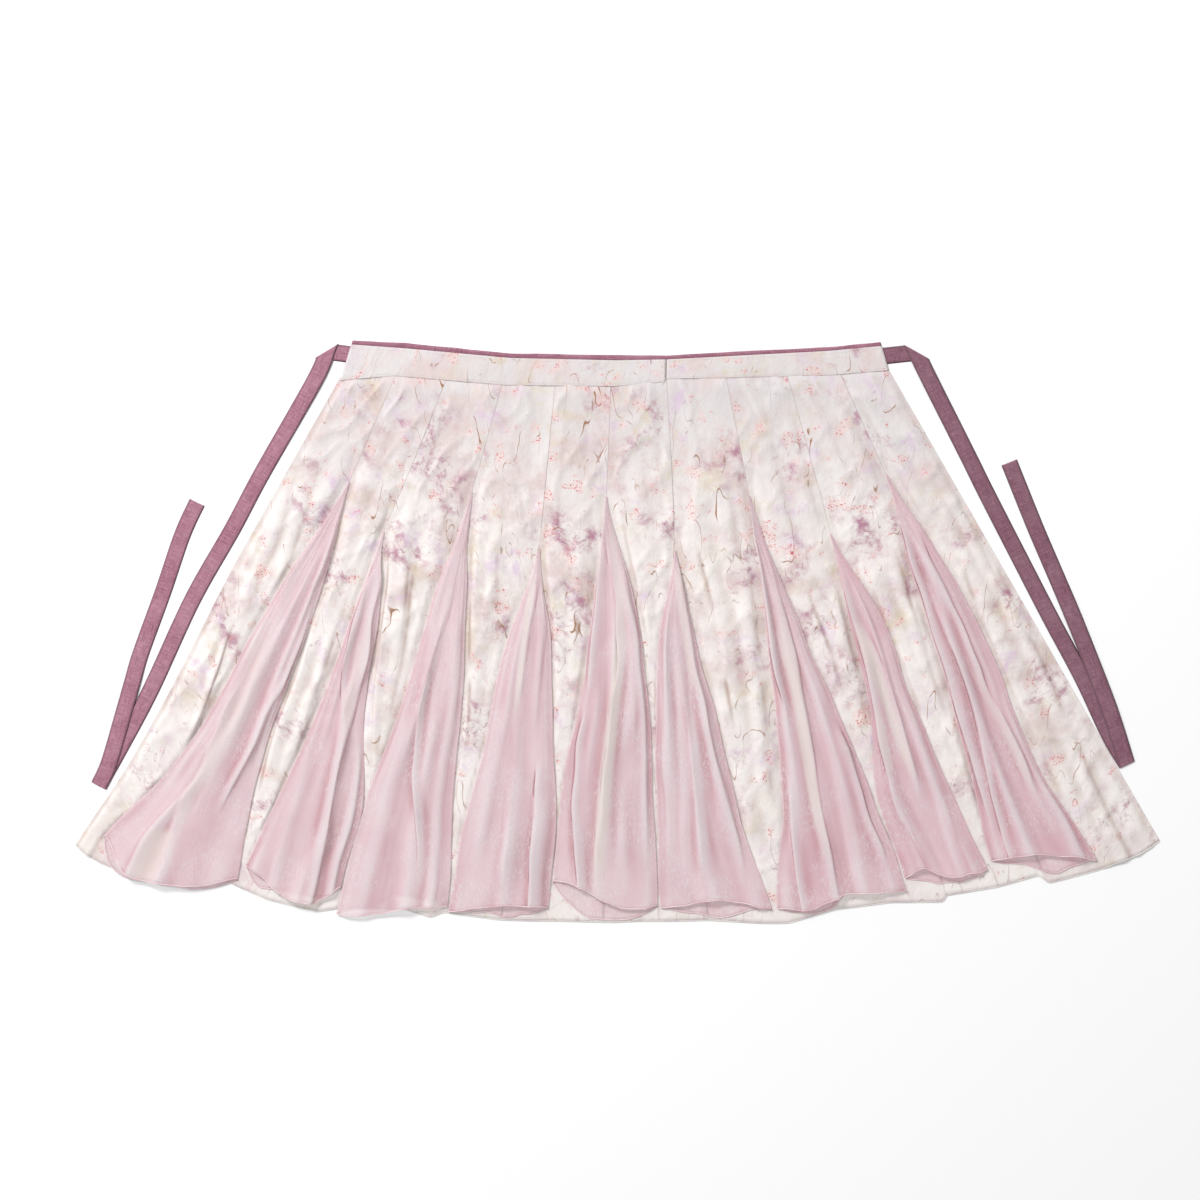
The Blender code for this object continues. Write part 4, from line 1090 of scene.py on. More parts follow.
# Columns: godet, place and width as shares across it, height, start and end as shares of its length
GODET_SWELLS = (
    (1, 0.22, 0.08, 0.004, 0.45, 1.0), (1, 0.52, 0.09, 0.005, 0.15, 1.0), (1, 0.82, 0.07, 0.007, 0.05, 0.80),
    (2, 0.30, 0.08, 0.005, 0.10, 0.70), (2, 0.62, 0.09, 0.008, 0.30, 1.0),
    (3, 0.28, 0.08, 0.005, 0.25, 0.75), (3, 0.62, 0.09, 0.006, 0.45, 1.0),
    (4, 0.25, 0.07, 0.004, 0.10, 0.60), (4, 0.55, 0.08, 0.004, 0.50, 1.0), (4, 0.86, 0.07, 0.008, 0.60, 1.0),
    (5, 0.25, 0.07, 0.005, 0.40, 1.0), (5, 0.48, 0.08, 0.008, 0.20, 0.95), (5, 0.80, 0.08, 0.005, 0.10, 0.90),
    (6, 0.22, 0.07, 0.006, 0.10, 0.75), (6, 0.50, 0.08, 0.006, 0.30, 1.0), (6, 0.80, 0.07, 0.006, 0.15, 0.90),
    (7, 0.15, 0.07, 0.008, 0.05, 0.90), (7, 0.42, 0.08, 0.006, 0.20, 1.0), (7, 0.74, 0.08, 0.005, 0.30, 1.0),
    (8, 0.24, 0.08, 0.006, 0.20, 1.0), (8, 0.58, 0.08, 0.007, 0.10, 0.85), (8, 0.84, 0.06, 0.004, 0.50, 1.0),
    (9, 0.16, 0.07, 0.006, 0.10, 0.95), (9, 0.40, 0.08, 0.009, 0.08, 1.0), (9, 0.78, 0.08, 0.005, 0.20, 1.0),
)


def omega(number, share, depth):
    """A godet's section at each share of its length: metres from the seam, height, place on the top layer,
    and which points belong to that layer."""
    left, right = godet_edges(number, share)
    seam = seam_across(number, depth)
    radius = TIP_RADIUS + (TURN_RADIUS - TIP_RADIUS) * ease(share / 0.1)
    from_left = (left - seam) * breadth(depth) + radius
    to_right = (right - seam) * breadth(depth) - radius
    inward = np.linspace(0.0, 1.0, UNDER_COLUMNS)[None, :]
    angle = np.linspace(0.0, math.pi, TURN_COLUMNS + 2)[None, 1:-1]
    top = np.linspace(0.0, 1.0, GODET_COLUMNS)[None, :]
    wide = np.concatenate((
        -HALF_GAP + (from_left + HALF_GAP) * inward,
        from_left - radius * np.sin(angle),
        from_left + (to_right - from_left) * top,
        to_right + radius * np.sin(angle[:, ::-1]),
        to_right + (HALF_GAP - to_right) * inward,
    ), axis=1)
    flat = np.zeros_like(from_left)
    rise = np.concatenate((
        flat + 0.0 * inward,
        radius * (1.0 - np.cos(angle)),
        2.0 * radius + 0.0 * top,
        radius * (1.0 - np.cos(angle[:, ::-1])),
        flat + 0.0 * inward,
    ), axis=1)
    ends = UNDER_COLUMNS + TURN_COLUMNS
    place = np.concatenate((np.zeros(ends), top[0], np.ones(ends)))[None, :] + 0.0 * wide
    on_top = np.concatenate((np.zeros(ends), np.ones(GODET_COLUMNS), np.zeros(ends)))[None, :] + 0.0 * wide
    return wide, GODET_FLOOR + rise, place, on_top


def make_godet(number):
    name = f"godet_{number}"
    tip_depth = GODETS[number - 1][1]
    share = np.linspace(0.0, 1.0, GODET_ROWS)[:, None]
    nominal = tip_depth + share * (NOMINAL_DROP - tip_depth)
    left, right = godet_edges(number, share)
    wide, height, place, on_top = omega(number, share, nominal)
    across = seam_across(number, nominal) + wide / breadth(nominal)
    cover = np.clip((across - left) / (right - left), 0.0, 1.0)
    hem = through(GODET_HEMS[number - 1], cover)
    to_right = ease(0.5 + (across - seam_across(number, nominal)) * breadth(nominal) / SIDE_CHANGE)
    left_hem, right_hem = UNDER_HEMS[number - 1]
    under_hem = left_hem * (1.0 - to_right) + right_hem * to_right
    under_hem = under_hem + UNDER_HEM_WOBBLE * soft_noise(cover * 11.0, 0.0 * cover, number + 65)
    inside = np.sin(math.pi * cover) ** 0.8 * (1.0 - on_top)
    wobble = HEM_WOBBLE * soft_noise(cover * 9.0, 0.0 * cover, number + 70) * on_top
    longer = inside * (under_hem - hem) + wobble
    depth = tip_depth + share * (hem - tip_depth) + between(share, HEM_CHANGES) * longer
    loose = held(place, GODET_HELD_SHARE) * on_top
    move, rise, shade, light = folded(name, across, depth, GODET_FOLD_WIDENING)
    grown = ease(share / 0.15)
    waves = [EDGE_WAVE * along(depth, EDGE_WAVE_LENGTH, number + seed) * grown for seed in (50, 55)]
    wave = (waves[0] * (1.0 - cover) + waves[1] * cover) / breadth(depth) * np.abs(2.0 * cover - 1.0)
    hem_wide = (right[-1, 0] - left[-1, 0]) * breadth(NOMINAL_DROP)
    ends = UNDER_COLUMNS + TURN_COLUMNS
    turned = np.where(place < 0.5, wide[:, ends:ends + 1] - wide, wide[:, -ends - 1:-ends] - wide)
    u = place * hem_wide + (1.0 - on_top) * turned
    ripple = soft_noise(u / RIPPLE_SPACING[0] + 1.2 * depth, depth / RIPPLE_SPACING[1], number + 60)
    fine = soft_noise(u / FINE_RIPPLE_SPACING[0], depth / FINE_RIPPLE_SPACING[1], number + 61)
    ripple += FINE_RIPPLE_SHARE * fine
    swell = GODET_SWELL * np.sin(math.pi * place) * ease(share / 0.3)
    broad = GODET_SWELL_SHARE * swells(GODET_SWELLS, number, place, share + 0.0 * place)
    flutter = 1.0 + soft_noise(place * 7.0, 0.0 * place, number + 80)
    flutter = HEM_FLUTTER * flutter * between(share, FLUTTERS)
    lift = swell + GODET_RIPPLE * (ripple + 1.2) * ease(share / 0.2) + (broad + rise) + flutter
    x, y = fan(across + move * loose + wave, depth)
    stands = relief(loose * lift, 6) * on_top
    light = np.maximum(light, RIDGE_LIGHT * np.clip(stands / RIDGE_HEIGHT, 0.0, 1.0))
    shade = np.maximum(shade, VALLEY_SHADE * np.clip(-stands / RIDGE_HEIGHT, 0.0, 1.0))
    grid = np.stack((x, y, height + loose * lift), axis=-1)
    uv = cloth_map(u, depth, (CHIFFON_SHIFT[0] * number, CHIFFON_SHIFT[1] * number))
    marks = {"fold_shade": shade * on_top, "ridge_light": light * on_top}
    marks["paleness"] = paleness(name, across, depth)
    flat_x, flat_y = fan(across, depth)
    area = grid_area(np.stack((flat_x, flat_y, height), axis=-1))
    sheet = sheet_of_cloth(f"chiffon_godet_{number}", grid, uv, marks, chiffon_material, CHIFFON_THICKNESS)
    return sheet, grid, area


godets = {number: make_godet(number) for number in range(1, len(GODETS) + 1)}
print("flat area of the godets in m2:", round(sum(area for _, _, area in godets.values()), 2))

# %% [markdown]
# ## The waistband and its mauve strip
# The waistband is a straight strip of the same print, folded over the gores' gathered edge and stiffened,
# so it lies nearly flat with rounded edges. It is in two pieces with a narrow slit between them. A strip of
# mauve linen backs it and stands a few millimetres past its top edge.

# %% Making the waistband
BAND_THICKNESS = 0.0010
BAND_LEVEL = 0.00225
BAND_STEP = 0.004
BAND_ROWS = 15
BAND_PUFF = 0.0007
BAND_PUFF_LENGTH = 0.03
BAND_PULL = 0.0005
BAND_PULL_SPACING = (0.012, 0.02)
BAND_SINKS = 0.0004
BAND_DEPTH = 0.045
BAND_EDGE_SHADE = 0.30
BAND_SHIFT = (0.33, 0.57)


def band_place(across, share, low, high):
    bottom_x = BAND_BOTTOM_X[0] + (BAND_BOTTOM_X[1] - BAND_BOTTOM_X[0]) * across
    top_x = BAND_TOP_X[0] + (BAND_TOP_X[1] - BAND_TOP_X[0]) * across
    return bottom_x + (top_x - bottom_x) * share + SHIFT_X, low + (high - low) * share + SHIFT_Y


def make_band(name, start, end):
    count = int((end - start) * WAIST_WIDTH / BAND_STEP)
    across = np.linspace(start, end, count)[None, :]
    edge = np.array((0.0, 0.015, 0.05))
    share = np.concatenate((edge, np.linspace(0.1, 0.9, BAND_ROWS), 1.0 - edge[::-1]))[::-1, None]
    x, y = band_place(across, share, waist_line(2, across), waist_line(3, across))
    length = across * WAIST_WIDTH + 0.0 * share
    tall = share * BAND_DEPTH + 0.0 * across
    uneven = 1.0 + 0.5 * soft_noise(length / BAND_PUFF_LENGTH, tall / BAND_PUFF_LENGTH, seed=90)
    puff = BAND_PUFF * np.sin(math.pi * share) ** 0.5 * uneven
    slanting = length / BAND_PULL_SPACING[0] + tall / BAND_PULL_SPACING[1]
    pull = BAND_PULL * soft_noise(slanting, tall / BAND_PULL_SPACING[1], seed=91) * (1.0 - share)
    height = BAND_LEVEL - BAND_SINKS + puff + pull
    shade = BAND_EDGE_SHADE * strip(share, 0.0, 0.03) + 0.0 * across
    uv = cloth_map(length, tall, BAND_SHIFT)
    grid = np.stack((x, y, height + 0.0 * x), axis=-1)
    return sheet_of_cloth(name, grid, uv, {"fold_shade": shade}, print_material, BAND_THICKNESS), grid


half_slit = SLIT_WIDTH / 2.0 / (BAND_TOP_X[1] - BAND_TOP_X[0])
band_left, band_left_grid = make_band("printed_band_left", 0.0, BAND_SLIT - half_slit)
band_right, band_right_grid = make_band("printed_band_right", BAND_SLIT + half_slit, 1.0)

# %% [markdown]
# ## The mauve linen
# The ties and the strip are slubbed linen: fine threads both ways, some thick and pale, some thin and dark.
# Two noises, one stretched along the ribbon and one across it, stand for warp and weft, and a third one for
# the slubs.

# %% Finish of the linen
LINEN_DARK = (0.25, 0.10, 0.145, 1.0)
LINEN_MID = (0.42, 0.195, 0.262, 1.0)
LINEN_PALE = (0.62, 0.38, 0.45, 1.0)
LINEN_PAINTED_SHADE = (0.42, 0.42, 0.44, 1.0)


def linen(name, painted_dimming):
    material, tree, shader = finish(name, LINEN_MID)
    uv = put(tree, "ShaderNodeUVMap", {}, uv_map="cloth")
    warp = noise(tree, moved(tree, uv, scale=(1.0, 0.05, 1.0)), 900.0, 2.0, 0.6)
    weft = noise(tree, moved(tree, uv, scale=(0.05, 1.0, 1.0)), 800.0, 2.0, 0.6)
    threads = times(tree, maths(tree, "ADD", warp, weft), 0.5)
    colour = tint(tree, window(tree, threads, 0.40, 0.60), LINEN_DARK, LINEN_MID)
    slub = noise(tree, moved(tree, uv, scale=(0.12, 1.0, 1.0)), 620.0, 3.0, 0.65)
    colour = tint(tree, window(tree, slub, 0.58, 0.72, 0.75), colour, LINEN_PALE)
    fade = noise(tree, uv, 14.0, 3.0)
    colour = tint(tree, window(tree, fade, 0.35, 0.70, 0.20), colour, LINEN_PALE)
    # Painted shade: the whole linen darkened by this share
    colour = tint(tree, painted_dimming, colour, LINEN_PAINTED_SHADE, "MULTIPLY")
    shade = times(tree, point_value(tree, "fold_shade"), 0.7)
    colour = tint(tree, shade, colour, LINEN_DARK, "MULTIPLY")
    connect(tree, shader.inputs["Base Color"], colour)
    shader.inputs["Roughness"].default_value = 0.88
    shader.inputs["Specular IOR Level"].default_value = 0.2
    shader.inputs["Sheen Weight"].default_value = 0.15
    bump(tree, shader, threads, 0.6, 0.0006)
    return material


linen_left = linen("linen_left", 0.0)
# The right tie's linen is the same linen with painted shade
linen_right = linen("linen_right", 0.62)

# %% The strip behind the waistband
FACING_LEVEL = 0.0006
FACING_COLUMNS = 240
FACING_WAVE = 0.0004
FACING_PUFF = 0.0003
FACING_SHADE = 0.8
LINEN_THICKNESS = 0.0009


def make_facing():
    across = np.linspace(0.0, 1.0, FACING_COLUMNS)[None, :]
    part = np.linspace(1.0, 0.0, 6)[:, None]
    low, high, edge = waist_line(2, across), waist_line(3, across), waist_line(4, across)
    tall = (high - FACING_TUCK) + (edge - high + FACING_TUCK) * part
    wave = FACING_WAVE * soft_noise(across * WAIST_WIDTH / 0.03, 0.0 * across, seed=95) * part
    x, y = band_place(across, (tall + wave - low) / (high - low), low, high)
    height = FACING_LEVEL + FACING_PUFF * np.sin(math.pi * part) + 0.0 * x
    uv = cloth_map(across * WAIST_WIDTH + 0.0 * part, tall, (0.0, 0.0))
    shade = FACING_SHADE * (1.0 - part) + 0.0 * across
    grid = np.stack((x, y, height), axis=-1)
    return sheet_of_cloth("linen_strip", grid, uv, {"fold_shade": shade}, linen_left, LINEN_THICKNESS)


facing = make_facing()

# %% [markdown]
# ## The ties
# Each tie is a flat tube of linen. It leaves the end of the waistband, is folded over once, runs down
# beside the skirt, is folded over again at the bottom and comes back up over itself. A folded ribbon turns
# about a slanted line, so the rungs across it fan round to the fold's slant and back. The ends of the rungs
# are the two edges.

# %% Routes of the ties
TIE_WIDTH = 0.0285
TIE_WALL = 0.0012
TIE_STEP = TIE_WALL + 0.0004
TIE_RUNG_SPACING = 0.005
TIE_FOLD_MARGIN = 0.004
TIE_LOOK = 0.01
TIE_TURN = (0.0, 0.2, 0.4, 0.6, 0.8)
TURN_ANGLES = np.radians((22.5, 45.0, 67.5, 90.0, 112.5, 135.0, 157.5))

# Columns: x, y, level (0 on the floor, 1 on the ribbon's own lower layer), folded over here
TIE_LEFT = (
    (-0.4540, 0.4705, 0, False), (-0.4942, 0.4757, 0, True), (-0.5150, 0.4264, 1, False),
    (-0.6050, 0.2683, 0, False), (-0.6555, 0.1731, 0, False), (-0.7230, 0.0541, 0, False),
    (-0.7942, -0.0998, 0, False), (-0.8461, -0.1975, 0, False), (-0.8820, -0.2620, 0, True),
    (-0.8645, -0.2230, 1, False), (-0.8393, -0.1363, 1, False), (-0.8250, -0.0860, 1, False),
    (-0.8105, -0.0360, 0, False), (-0.7730, 0.0677, 0, False), (-0.7407, 0.1629, 0, False),
    (-0.7152, 0.2190, 0, False),
)
TIE_RIGHT = (
    (0.4520, 0.4680, 0, False), (0.5080, 0.4740, 0, True), (0.5310, 0.4264, 1, False),
    (0.5955, 0.2989, 0, False), (0.6253, 0.2385, 0, False), (0.6788, 0.1340, 0, False),
    (0.7349, 0.0252, 0, False), (0.7910, -0.0802, 0, False), (0.8361, -0.1763, 0, False),
    (0.8658, -0.2264, 0, True), (0.8403, -0.1448, 1, False), (0.8157, -0.0785, 1, False),
    (0.7750, 0.0240, 1, False), (0.7500, 0.0840, 0, False), (0.7172, 0.1603, 0, False),
    (0.7000, 0.2020, 0, False), (0.6660, 0.2870, 0, False),
)


def tie_runs(route):
    """The route cut at its folds, each run with its rows of x, y and level."""
    runs, run = [], [route[0][:3]]
    for row in route[1:]:
        run.append(row[:3])
        if row[3]:
            runs.append(np.array(run))
            run = [row[:3]]
    runs.append(np.array(run))
    for run in runs[1:]:
        run[0, 2] = run[1, 2]
    return runs


def smooth_run(run):
    """Dense places of a run's middle line, with the distance along it and the level at each."""
    shares = np.linspace(0.0, 1.0, 12 * (len(run) - 1) + 1)
    place = np.stack((through(run[:, 0], shares), through(run[:, 1], shares)), axis=1)
    level = np.interp(shares * (len(run) - 1), range(len(run)), run[:, 2])
    steps = np.linalg.norm(np.diff(place, axis=0), axis=1)
    return place, np.concatenate(([0.0], np.cumsum(steps))), level


def unit(vector):
    return vector / np.linalg.norm(vector)


def middle_at(place, distance, reached):
    """The point of a middle line at a distance along it."""
    return np.array([np.interp(reached, distance, place[:, axis]) for axis in (0, 1)])


def rung_end(curve, reached, side):
    """One end of a rung (side 1 left, -1 right) at a distance along the middle line."""
    place, distance, level = curve
    inside = min(max(reached, 0.0), distance[-1])
    ahead, behind = min(inside + TIE_LOOK, distance[-1]), max(inside - TIE_LOOK, 0.0)
    forward = unit(middle_at(place, distance, ahead) - middle_at(place, distance, behind))
    middle = middle_at(place, distance, inside) + (reached - inside) * forward
    edge = middle + side * TIE_WIDTH / 2.0 * np.array((-forward[1], forward[0]))
    height = TIE_WALL / 2.0 + np.interp(inside, distance, level) * TIE_STEP
    return np.array((edge[0] + SHIFT_X, edge[1] + SHIFT_Y, height))


def fold_slant(forward, fold):
    """How far along the ribbon its left edge meets a fold line, measured from where the middle meets it."""
    left = np.array((-forward[1], forward[0]))
    return TIE_WIDTH / 2.0 * fold.dot(forward) / fold.dot(left)


def rung_places(length, slant_start, slant_end):
    """Pairs of distances along the left and right edges, turning from one fold's slant to the next one's."""
    first = abs(slant_start) + TIE_FOLD_MARGIN if slant_start else 0.0
    last = length - (abs(slant_end) + TIE_FOLD_MARGIN if slant_end else 0.0)
    count = max(int(round((last - first) / TIE_RUNG_SPACING)), 1)
    pairs = [(first + (last - first) * k / count,) * 2 for k in range(count + 1)]
    if slant_start:
        left, right = slant_start, -slant_start
        pairs = [(left + (first - left) * f, right + (first - right) * f) for f in TIE_TURN] + pairs
    if slant_end:
        left, right = length + slant_end, length - slant_end
        pairs += [(left + (last - left) * f, right + (last - right) * f) for f in TIE_TURN][::-1]
    return pairs


def tie_rungs(route):
    """Left and right ends of all rungs, and the way the ribbon's face looks at each."""
    curves = [smooth_run(run) for run in tie_runs(route)]
    starts = [unit(place[1] - place[0]) for place, _, _ in curves]
    ends = [unit(place[-1] - place[-2]) for place, _, _ in curves]
    folds = [unit(ends[k] + starts[k + 1]) for k in range(len(curves) - 1)]
    rungs, facing = [], -1.0
    for k, curve in enumerate(curves):
        side = 1.0 if k % 2 == 0 else -1.0
        slant_start = fold_slant(starts[k], folds[k - 1]) if k > 0 else 0.0
        slant_end = fold_slant(ends[k], folds[k]) if k < len(folds) else 0.0
        for on_left, on_right in rung_places(curve[1][-1], slant_start, slant_end):
            pair = (rung_end(curve, on_left, 1), rung_end(curve, on_right, -1))
            rungs.append((*(pair if side > 0.0 else pair[::-1]), np.array((0.0, 0.0, facing))))
        if k == len(folds):
            break
        outward = unit(ends[k] - ends[k].dot(folds[k]) * folds[k])
        turned = [end + np.array((0.0, 0.0, TIE_STEP / 2.0)) for end in rungs[-1][:2]]
        for angle in TURN_ANGLES:
            radial = np.array((*(outward * math.sin(angle)), -math.cos(angle)))
            rungs.append((*(end + radial * TIE_STEP / 2.0 for end in turned), -facing * radial))
        facing = -facing
    return [np.array(part) for part in zip(*rungs)]


# %% Making the ties
TIE_COLUMNS = 9
TIE_HALF_WALL = 0.00052
TIE_EDGE_WALL = 0.00012
TIE_WAVE = 0.0006
TIE_WAVE_LENGTH = 0.045
TIE_EDGE_SHADE = 0.6


def make_tie(name, route, material):
    left, right, normal = tie_rungs(route)
    middle = (left + right) / 2.0
    steps = np.linalg.norm(np.diff(middle, axis=0), axis=1)
    length = np.concatenate(([0.0], np.cumsum(steps)))[:, None]
    share = np.linspace(0.0, 1.0, TIE_COLUMNS)[None, :]
    place = left[:, None, :] + (right - left)[:, None, :] * share[:, :, None]
    uneven = 1.0 + soft_noise(length / TIE_WAVE_LENGTH, share * 1.3, seed=33)
    wave = TIE_WAVE * uneven * np.sin(math.pi * share) ** 0.5
    place[:, :, 2] += wave * np.abs(normal[:, 2:3])
    wall = TIE_EDGE_WALL + (TIE_HALF_WALL - TIE_EDGE_WALL) * (1.0 - np.abs(2.0 * share - 1.0) ** 6)
    upper = place + normal[:, None, :] * wall[:, :, None]
    lower = place - normal[:, None, :] * wall[:, :, None]
    ring = np.concatenate((upper, lower[:, -2:0:-1]), axis=1)
    ring_uv = np.concatenate((share[0], share[0, -2:0:-1] + 2.0))
    rungs, round_it = ring.shape[:2]
    mesh = bmesh.new()
    uv_layer = mesh.loops.layers.uv.new("cloth")
    points = [[mesh.verts.new(point) for point in row] for row in ring.tolist()]
    for i in range(rungs - 1):
        for j in range(round_it):
            k = (j + 1) % round_it
            face = mesh.faces.new((points[i][j], points[i + 1][j], points[i + 1][k], points[i][k]))
            for loop, (row, column) in zip(face.loops, ((i, j), (i + 1, j), (i + 1, k), (i, k))):
                loop[uv_layer].uv = (ring_uv[column] * TIE_WIDTH, float(length[row, 0]))
    mesh.faces.new(points[0])
    mesh.faces.new(points[-1])
    bmesh.ops.recalc_face_normals(mesh, faces=mesh.faces)
    data = bpy.data.meshes.new(name)
    mesh.to_mesh(data)
    mesh.free()
    edge = np.concatenate((np.abs(2.0 * share[0] - 1.0), np.abs(2.0 * share[0, -2:0:-1] - 1.0)))
    mark_points(data, "fold_shade", np.repeat((TIE_EDGE_SHADE * edge**10)[None, :], rungs, axis=0))
    data.shade_smooth()
    data.materials.append(material)
    return new_object(name, data), left, right, normal, float(length[-1, 0])


tie_left, *tie_left_edges, tie_left_length = make_tie("linen_tie_left", TIE_LEFT, linen_left)
tie_right, *tie_right_edges, tie_right_length = make_tie("linen_tie_right", TIE_RIGHT, linen_right)
print("the ties are", round(tie_left_length, 2), "and", round(tie_right_length, 2), "m long")

# %% [markdown]
# ## Rolled hems and stitches with Geometry Nodes
# A chiffon edge is finished with a rolled hem, a cord of cloth a millimetre or two thick that catches the
# light as a fine line. It follows the hem wherever the folds take it, so it is a tree that sweeps a small
# circle along a path. Stitches repeat along a path: a second tree sets one short thread after another along
# it. Both trees take a line of edges, have their sizes as inputs and end as a plain mesh.

# %% The trees
def new_tree(name, sizes):
    """A tree with a geometry input, these number inputs, a material input and a geometry output."""
    tree = bpy.data.node_groups.new(name, "GeometryNodeTree")
    tree.interface.new_socket("Path", in_out="INPUT", socket_type="NodeSocketGeometry")
    for label in sizes:
        tree.interface.new_socket(label, in_out="INPUT", socket_type="NodeSocketFloat")
    tree.interface.new_socket("Finish", in_out="INPUT", socket_type="NodeSocketMaterial")
    tree.interface.new_socket("Mesh", in_out="OUTPUT", socket_type="NodeSocketGeometry")
    return tree, tree.nodes.new("NodeGroupInput").outputs


def close_tree(tree, given, geometry):
    """Ends a tree in plain, smooth mesh with its finish."""
    real = put(tree, "GeometryNodeRealizeInstances", {"Geometry": geometry})
    smooth = put(tree, "GeometryNodeSetShadeSmooth", {"Geometry": real})
    finished = put(tree, "GeometryNodeSetMaterial", {"Geometry": smooth, "Material": given["Finish"]})
    tree.links.new(finished, tree.nodes.new("NodeGroupOutput").inputs["Mesh"])


def rolled_hem_tree():
    tree, given = new_tree("rolled hem", ("Radius", "Step"))
    path = put(tree, "GeometryNodeMeshToCurve", {"Mesh": given["Path"]})
    even = tree.nodes.new("GeometryNodeResampleCurve")
    even.mode = "LENGTH"
    tree.links.new(path, even.inputs["Curve"])
    tree.links.new(given["Step"], even.inputs["Length"])
    circle = put(tree, "GeometryNodeCurvePrimitiveCircle", {"Resolution": 6, "Radius": given["Radius"]})
    inputs = {"Curve": even.outputs[0], "Profile Curve": circle, "Fill Caps": True}
    close_tree(tree, given, put(tree, "GeometryNodeCurveToMesh", inputs))
    return tree


def stitch_tree():
    tree, given = new_tree("stitches", ("Spacing", "Length", "Thread"))
    path = put(tree, "GeometryNodeMeshToCurve", {"Mesh": given["Path"]})
    even = tree.nodes.new("GeometryNodeResampleCurve")
    even.mode = "LENGTH"
    tree.links.new(path, even.inputs["Curve"])
    tree.links.new(given["Spacing"], even.inputs["Length"])
    tangent = tree.nodes.new("GeometryNodeInputTangent").outputs[0]
    turn = put(tree, "FunctionNodeAlignRotationToVector", {"Vector": tangent}, axis="Z")
    thread_inputs = {"Vertices": 5, "Radius": given["Thread"], "Depth": given["Length"]}
    thread = put(tree, "GeometryNodeMeshCylinder", thread_inputs)
    inputs = {"Points": even.outputs[0], "Instance": thread, "Rotation": turn}
    close_tree(tree, given, put(tree, "GeometryNodeInstanceOnPoints", inputs))
    return tree


def along_paths(name, paths, tree, sizes, material):
    """Runs a tree over lines of points and gives back a plain mesh object."""
    vertices, edges = [], []
    for path in paths:
        start = len(vertices)
        vertices += [tuple(point) for point in path.tolist()]
        edges += [(start + k, start + k + 1) for k in range(len(path) - 1)]
    lines = bpy.data.meshes.new(name + " path")
    lines.from_pydata(vertices, edges, [])
    carrier = new_object(name + " path", lines)
    modifier = carrier.modifiers.new(tree.name, "NODES")
    modifier.node_group = tree
    labels = {item.name: item.identifier for item in tree.interface.items_tree if item.in_out == "INPUT"}
    for label, value in sizes.items():
        modifier[labels[label]] = value
    modifier[labels["Finish"]] = material
    graph = bpy.context.evaluated_depsgraph_get()
    mesh = bpy.data.meshes.new_from_object(carrier.evaluated_get(graph), depsgraph=graph)
    bpy.data.objects.remove(carrier)
    mesh.name = name
    return new_object(name, mesh)


hem_tree = rolled_hem_tree()
thread_tree = stitch_tree()
print("trees:", hem_tree.name, "and", thread_tree.name)

# %% [markdown]
# The hem roll of the print is cream with a breath of the print's mauve, and the thread matches each cloth.
# The roll of the chiffon is four layers thick, so it is nearly solid and reads a tone deeper than the
# cloth.

# %% Finishes of the rolls and threads
def rolled_edge(name, light, dark, alpha=1.0):
    material, tree, shader = finish(name, light)
    place = put(tree, "ShaderNodeTexCoord", {}, output=3)
    colour = tint(tree, window(tree, noise(tree, place, 26.0, 4.0, 0.6), 0.40, 0.66), light, dark)
    fine = noise(tree, place, 700.0, 2.0)
    colour = tint(tree, window(tree, fine, 0.45, 0.7, 0.25), colour, dark)
    connect(tree, shader.inputs["Base Color"], colour)
    shader.inputs["Roughness"].default_value = 0.8
    shader.inputs["Sheen Weight"].default_value = 0.2
    shader.inputs["Alpha"].default_value = alpha
    bump(tree, shader, fine, 0.4, 0.0004)
    return material


cream_roll = rolled_edge("cream_roll", (0.86, 0.82, 0.77, 1.0), (0.66, 0.56, 0.58, 1.0))
pink_roll = rolled_edge("pink_roll", (0.98, 0.76, 0.80, 1.0), (0.82, 0.53, 0.58, 1.0), 0.85)
cream_thread = rolled_edge("cream_thread", (0.80, 0.76, 0.72, 1.0), (0.60, 0.55, 0.52, 1.0))
mauve_thread = rolled_edge("mauve_thread", (0.30, 0.13, 0.19, 1.0), (0.20, 0.08, 0.12, 1.0))

# %% Rolled hems and stitches on the skirt
ROLL_RADIUS = 0.0009
PRINT_ROLL_RADIUS = 0.0007
ROLL_STEP = 0.004
ROLL_CLEARANCE = 0.0004

hems = {}
sizes = {"Radius": ROLL_RADIUS, "Step": ROLL_STEP}
for number, (piece, grid, _) in godets.items():
    hems[piece.name] = along_paths(f"godet_hem_{number}", [grid[-1]], hem_tree, sizes, pink_roll)
sizes = {"Radius": PRINT_ROLL_RADIUS, "Step": ROLL_STEP}
for number, (piece, grid, _) in gores.items():
    roll = grid[-1] + np.array((0.0, 0.0, PRINT_ROLL_RADIUS - GORE_LEVEL + ROLL_CLEARANCE))
    hems[piece.name] = along_paths(f"gore_hem_{number}", [roll], hem_tree, sizes, cream_roll)
print(len(hems), "rolled hems")

# %% Stitches
STITCH = {"Spacing": 0.0036, "Length": 0.0024, "Thread": 0.00022}
THREAD_RISE = np.array((0.0, 0.0, 0.00045))
BAND_THREAD_RISE = np.array((0.0, 0.0, BAND_THICKNESS / 2.0 + 0.0001))
TIE_THREAD_RISE = np.array((0.0, 0.0, 0.00115))
TIE_STITCH_INSET = 0.07
FLAT_NORMAL = 0.999
FEWEST_RUNGS = 8

stitches = {}


def stitch(piece, name, lines, thread):
    stitches[piece.name] = along_paths(name, lines, thread_tree, STITCH, thread)


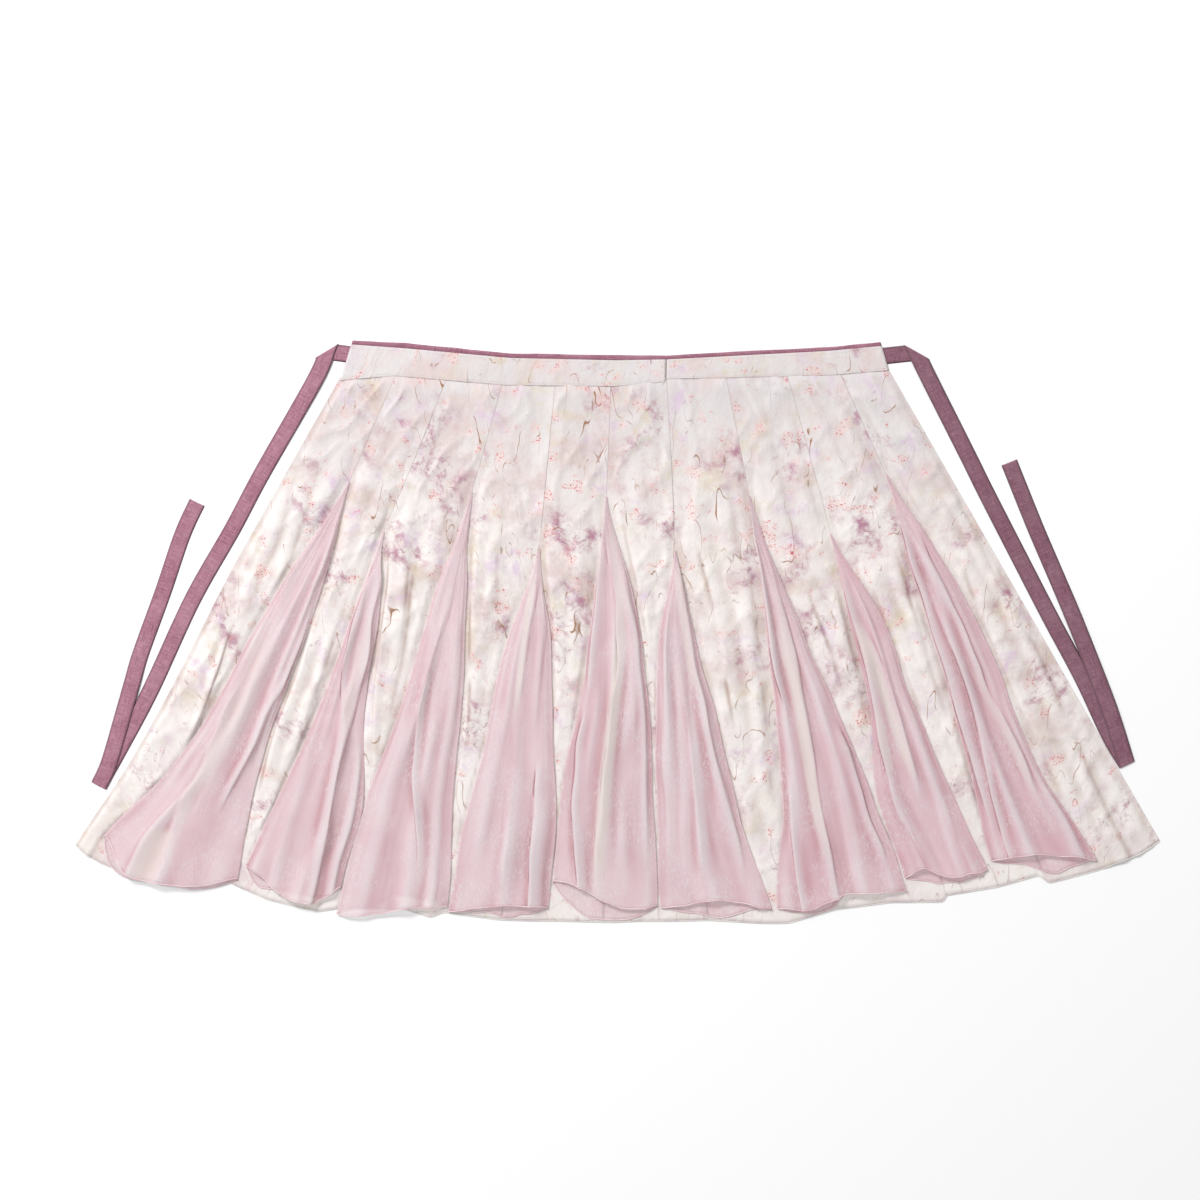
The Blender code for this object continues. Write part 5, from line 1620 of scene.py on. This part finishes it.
for number, (piece, grid, _) in gores.items():
    stitch(piece, f"gore_stitches_{number}", [grid[-2] + THREAD_RISE], cream_thread)
for piece, grid in ((band_left, band_left_grid), (band_right, band_right_grid)):
    lines = [grid[3] + BAND_THREAD_RISE, grid[-4] + BAND_THREAD_RISE]
    stitch(piece, piece.name + "_stitches", lines, cream_thread)


def tie_stitch_lines(left, right, normal):
    """Two lines of stitches, a little inside both edges, on the side of each flat run that looks up."""
    flat = np.abs(normal[:, 2]) > FLAT_NORMAL
    cuts = np.flatnonzero(np.diff(flat.astype(int)) != 0) + 1
    lines = []
    for part in np.split(np.arange(len(flat)), cuts):
        if flat[part[0]] and len(part) > FEWEST_RUNGS:
            for share in (TIE_STITCH_INSET, 1.0 - TIE_STITCH_INSET):
                lines.append(left[part] * (1.0 - share) + right[part] * share + TIE_THREAD_RISE)
    return lines


for piece, edges in ((tie_left, tie_left_edges), (tie_right, tie_right_edges)):
    stitch(piece, piece.name + "_stitches", tie_stitch_lines(*edges), mauve_thread)
print(len(stitches), "runs of stitches,", sum(len(made.data.polygons) for made in stitches.values()), "faces")

# %% [markdown]
# ## Joining the pieces to the frame
# Every piece rides on the skirt's one body and stands for its solid. For each sheet the size of the
# cloth it was cut from is worked out, with its flat area before folds.

# %% Joining the pieces
GORE_LENGTH = 0.945
GORE_HEM_DEPTH = 0.93
GODET_HEM_DEPTH = 0.91
BAND_LENGTH = 0.93
BAND_HEIGHT = 0.05


def join(piece, solid):
    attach(piece, "root")
    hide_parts(solid)


def trim_of(piece):
    """The hem roll and stitches of a piece, riding with it."""
    trims = [made[piece.name] for made in (hems, stitches) if piece.name in made]
    for trim in trims:
        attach(trim, "root")
    return trims


hem = np.array(NOMINAL_DROP)
for number, (piece, _, area) in gores.items():
    join(piece, f"gore_{number}")
    low, high = seam_across(number - 1, hem), seam_across(number, hem)
    size = (float((high - low) * breadth(GORE_HEM_DEPTH)), GORE_LENGTH)
    trim, area = trim_of(piece), min(area, size[0] * size[1])
for number, (piece, _, area) in godets.items():
    join(piece, f"godet_{number}")
    left, right = godet_edges(number, np.array(1.0))
    size = (float(2.0 * (right - left) * breadth(GODET_HEM_DEPTH)), GORE_HEM_DEPTH - GODETS[number - 1][1])
    under, trim = [gores[number][0], gores[number + 1][0]], trim_of(piece)
for piece, side, share in ((band_left, "left", BAND_SLIT), (band_right, "right", 1.0 - BAND_SLIT)):
    join(piece, f"waistband_{side}")
    size = (share * BAND_LENGTH, BAND_HEIGHT)
    trim_of(piece)
join(facing, "waistband_facing")
for piece, side, length in ((tie_left, "left", tie_left_length), (tie_right, "right", tie_right_length)):
    join(piece, f"tie_{side}")
    trim_of(piece)
print("declared", len(gores) + len(godets) + 5, "sheets of cloth")

# %% Bounds of the scene
low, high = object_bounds()
